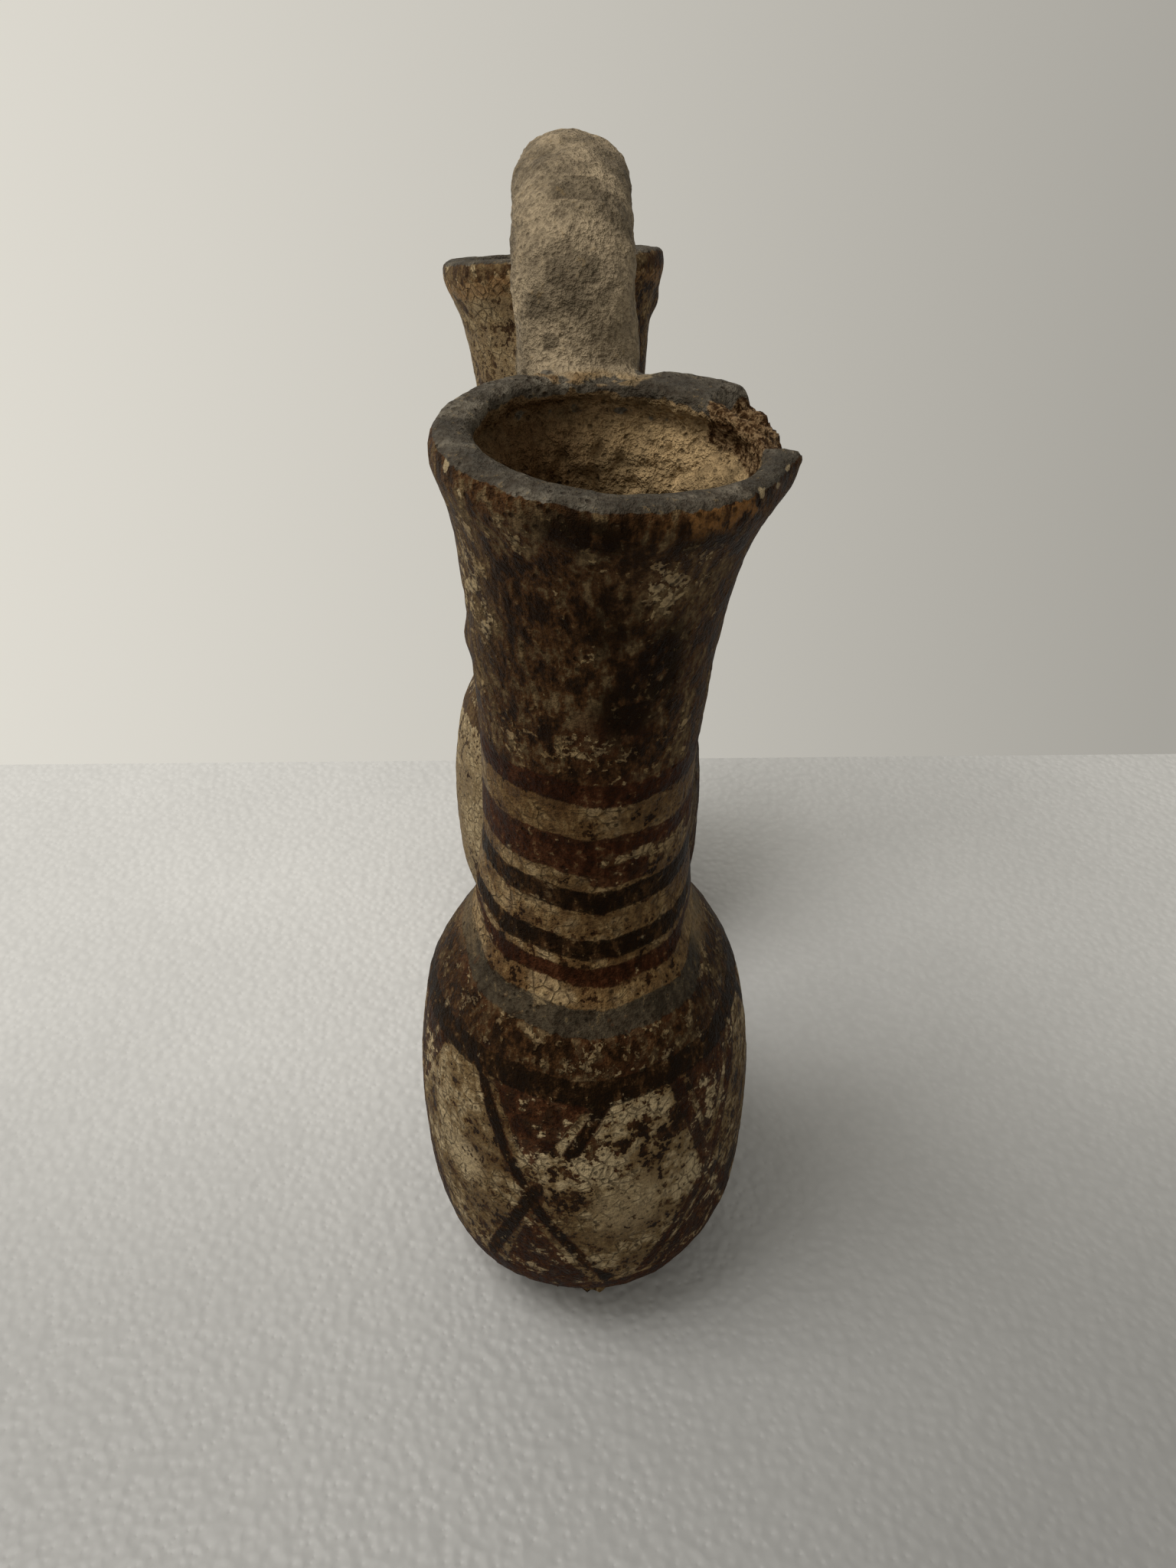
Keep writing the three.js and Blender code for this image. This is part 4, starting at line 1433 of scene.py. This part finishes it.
def clay_relief(n, g, cream, cracks, pits, rough):
    """The normal of the fine relief: flaked slip, cracks, pits and grain."""
    relief = n.total((n.without(cream, cracks), 0.60), (n.noise(4200, 1, 0.5), 0.40), (pits, -0.8))
    small = n.times(g.small, n.math("ADD", 0.12, n.times(rough, 0.08)))
    middle = n.times(g.middle, n.math("ADD", 0.10, n.times(rough, 0.22)))
    relief = n.total((relief, 1), (small, 1), (middle, 1))
    bump = n.add("ShaderNodeBump", {"Height": relief, "Strength": 1.0, "Distance": RELIEF})
    return bump.outputs["Normal"]


def painted_clay():
    """Worn, painted and smoked clay: slip, paints, darker spots, painted light and shade, cracks, pits and
    their relief.
    """
    p = settings().paint
    material = bpy.data.materials.new("painted_clay")
    n = Nodes(material)
    g = ClayPatterns(n)
    handle = n.attribute("handle")
    inside = n.attribute("inside")

    cover = n.total((n.attribute("slip"), 1), (g.mottle, 1), (g.broad, 0.4), (g.pale, 0.8))
    cream = n.rise(cover, -0.12, 0.22)
    now = n.mix(n.times(cream, 0.95), bare_clay(n, p, g), cream_slip(n, p, g))
    now, red, dark = painted(n, p, g, now)
    now = smoked(n, p, g, now)
    cracks = slip_cracks(n, g, cream, red, dark)
    now = n.mix(n.times(cracks, 0.5), now, shade(p.clay, 0.5))

    bare = n.rise(n.total((handle, 1), (g.middle, 0.04)), 0.12, 0.40)
    now = n.mix(bare, now, handle_clay(n, p, g))
    now = n.mix(inside, now, hollow_clay(n, p, g))
    lip = n.rise(n.total((n.attribute("lip"), 1), (g.middle, 0.10)), 0.40, 0.60)
    now = n.mix(n.times(lip, 0.94), now, lip_clay(n, p, g))
    broken = n.rise(n.total((n.attribute("broken"), 1), (g.middle, 0.12)), 0.40, 0.60)
    now = n.mix(broken, now, broken_layers(n, p, g))

    now = n.mix(n.times(n.rise(g.small, -1.8, 0.6, 1.0, 0.0), 0.35), now, shade(p.clay_dark, 1.2))
    pits = clay_pits(n, g, handle)
    now = n.mix(n.times(pits, 0.6), now, shade(p.clay_dark, 0.8))
    dust = n.rise(n.total((g.small, 0.8), (g.streak, 0.8)), 1.9, 2.4)
    now = n.mix(n.times(dust, 0.35), now, p.cream)
    chipped = n.rise(n.total((n.attribute("chips"), 1), (g.middle, 0.15)), 0.35, 0.6)
    now = n.mix(n.times(chipped, 0.75), now, shade(p.cream_light, 0.8))

    rough = n.math("MAXIMUM", n.math("MAXIMUM", inside, n.attribute("broken")), n.times(handle, 0.45))
    gloss = n.total((n.rise(g.tone, -1.5, 2.0, 0.50, 0.78), 1), (rough, 0.14))
    n.finish(
        Base_Color=now, Roughness=gloss, Normal=clay_relief(n, g, cream, cracks, pits, rough),
        Specular_IOR_Level=CLAY_SPECULAR, Specular_Tint=CLAY_SPECULAR_TINT,
    )
    return material


class DP_OT_Paint(Operator):
    """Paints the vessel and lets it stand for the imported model's piece"""

    bl_idname = "double_pitcher.paint"
    bl_label = "Paint"
    bl_options = {"REGISTER", "UNDO"}

    def execute(self, context):
        obj = piece("clay_vessel")
        for name, values in paint_maps(read_points(obj), read_normals(obj)).items():
            attribute = obj.data.attributes.new(name, "FLOAT", "POINT")
            attribute.data.foreach_set("value", np.ascontiguousarray(values, np.float32))
        obj.data.materials.clear()
        obj.data.materials.append(painted_clay())
        obj.vertex_groups.clear()
        activate(obj)
        bpy.ops.object.shade_smooth()
        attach(obj, "root")
        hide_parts(NODE)
        deselect()
        return {"FINISHED"}


def foam(tint):
    """Pale closed-cell foam, with painted shade that darkens it towards the front and a little towards the
    right.
    """
    material = bpy.data.materials.new("floor_foam")
    n = Nodes(material)
    cells = n.cells(430, "SMOOTH_F1")
    across = n.add("ShaderNodeSeparateXYZ", {"Vector": n.place})
    # Masks of painted shade, darkening the foam towards the front and a little towards the right.
    front = n.rise(across.outputs["X"], -0.06, 0.17)
    right = n.rise(across.outputs["Y"], -0.08, 0.12)
    base = n.ramp(n.noise(9, 2, 0.5), [(0.35, shade(tint, 0.95)), (0.65, shade(tint, 1.04))])
    base = n.mix(n.rise(cells, 0.15, 0.75, 0.0, 0.14), base, shade(tint, 0.6))
    base = n.mix(n.total((front, 0.48), (right, 0.13)), base, shade(tint, 0.12))
    bump = n.add("ShaderNodeBump", {"Height": cells, "Strength": 0.55, "Distance": 0.0009})
    n.finish(Base_Color=base, Roughness=0.42, Normal=bump.outputs["Normal"], Specular_IOR_Level=0.3)
    return material


# The soft key light's place, what it points at, and its size and colour.
KEY_PLACE = (0.14, -0.42, 0.98)
KEY_AIM = (-0.03, 0.0, 0.10)
KEY_SIZE = 0.5
KEY_COLOUR = (1.0, 0.975, 0.93)
# The surround grows darker between these directions along Y.
SURROUND_FADE = (-0.45, 0.45)


class DP_OT_Stage(Operator):
    """Sets up the pale floor, the soft light and the camera"""

    bl_idname = "double_pitcher.stage"
    bl_label = "Stage"
    bl_options = {"REGISTER", "UNDO"}

    def execute(self, context):
        g = settings().stage
        self.floor(g)
        self.key_light(g)
        self.surround(context, g)
        self.camera(context, g)
        return {"FINISHED"}

    def floor(self, g):
        """A slab of foam that ends a little way behind the vessel."""
        deselect()
        middle = (g.floor_back + g.floor_size / 2, 0, -g.floor_thickness / 2)
        bpy.ops.mesh.primitive_cube_add(size=1, location=middle)
        obj = bpy.context.object
        obj.name = "floor_foam"
        obj.dimensions = (g.floor_size, g.floor_size, g.floor_thickness)
        bpy.ops.object.transform_apply(location=True, rotation=True, scale=True)
        obj.data.materials.append(foam(g.floor))

    def key_light(self, g):
        """A soft square light above the left."""
        light = bpy.data.lights.new("key", "AREA")
        light.shape = "SQUARE"
        light.size = KEY_SIZE
        light.energy = g.key
        light.color = KEY_COLOUR
        obj = bpy.data.objects.new("key", light)
        obj.location = KEY_PLACE
        obj.rotation_euler = (Vector(KEY_AIM) - Vector(KEY_PLACE)).to_track_quat("-Z", "Y").to_euler()
        bpy.context.collection.objects.link(obj)

    def surround(self, context, g):
        """A pale surround, brighter on the left."""
        world = bpy.data.worlds.new("surround")
        world.use_nodes = True
        nodes, links = world.node_tree.nodes, world.node_tree.links
        background = nodes["Background"]
        background.inputs["Color"].default_value = (*g.surround, 1.0)
        direction = nodes.new("ShaderNodeTexCoord").outputs["Generated"]
        parts = nodes.new("ShaderNodeSeparateXYZ")
        links.new(direction, parts.inputs["Vector"])
        fade = nodes.new("ShaderNodeMapRange")
        fade.inputs["From Min"].default_value = SURROUND_FADE[0]
        fade.inputs["From Max"].default_value = SURROUND_FADE[1]
        fade.inputs["To Min"].default_value = g.surround_left
        fade.inputs["To Max"].default_value = g.surround_right
        links.new(parts.outputs["Y"], fade.inputs["Value"])
        links.new(fade.outputs["Result"], background.inputs["Strength"])
        context.scene.world = world
        context.scene.view_settings.view_transform = "Standard"

    def camera(self, context, g):
        """The camera at the photograph's place."""
        data = bpy.data.cameras.new("camera")
        data.lens = g.lens
        data.sensor_width = 36
        data.clip_start = 0.01
        obj = bpy.data.objects.new("camera", data)
        obj.location = (g.camera_distance, g.camera_side, g.camera_height)
        obj.rotation_euler = (math.radians(90) - g.camera_tilt, 0, g.camera_turn)
        context.collection.objects.link(obj)
        context.scene.camera = obj


class DP_PT_Panel(Panel):
    """Lists the settings and the steps"""

    bl_idname = "DP_PT_panel"
    bl_label = "Double Pitcher"
    bl_space_type = "VIEW_3D"
    bl_region_type = "UI"
    bl_category = "Double Pitcher"

    def draw(self, context):
        for title, group in (
            ("Pitchers", settings().vessel),
            ("Handle and bridge", settings().handle),
            ("Paint", settings().paint),
            ("Stage", settings().stage),
        ):
            box = self.layout.box()
            box.label(text=title)
            for name in group.__annotations__:
                box.prop(group, name)
        for step in STEPS:
            self.layout.operator(step.bl_idname)


STEPS = (DP_OT_Pitchers, DP_OT_Handle, DP_OT_Bridge, DP_OT_Clay, DP_OT_Paint, DP_OT_Stage)
CLASSES = (
    DP_VesselSettings,
    DP_HandleSettings,
    DP_PaintSettings,
    DP_StageSettings,
    DP_Settings,
    *STEPS,
    DP_PT_Panel,
)


def register():
    """Registers the settings, the steps and the panel."""
    for item in CLASSES:
        bpy.utils.register_class(item)
    bpy.types.Scene.double_pitcher = PointerProperty(type=DP_Settings)


def unregister():
    """Takes them away again."""
    del bpy.types.Scene.double_pitcher
    for item in reversed(CLASSES):
        bpy.utils.unregister_class(item)


def main():
    register()
    bpy.ops.double_pitcher.pitchers()
    bpy.ops.double_pitcher.handle()
    bpy.ops.double_pitcher.bridge()
    bpy.ops.double_pitcher.clay()
    bpy.ops.double_pitcher.paint()
    bpy.ops.double_pitcher.stage()


if __name__ == "__main__":
    main()
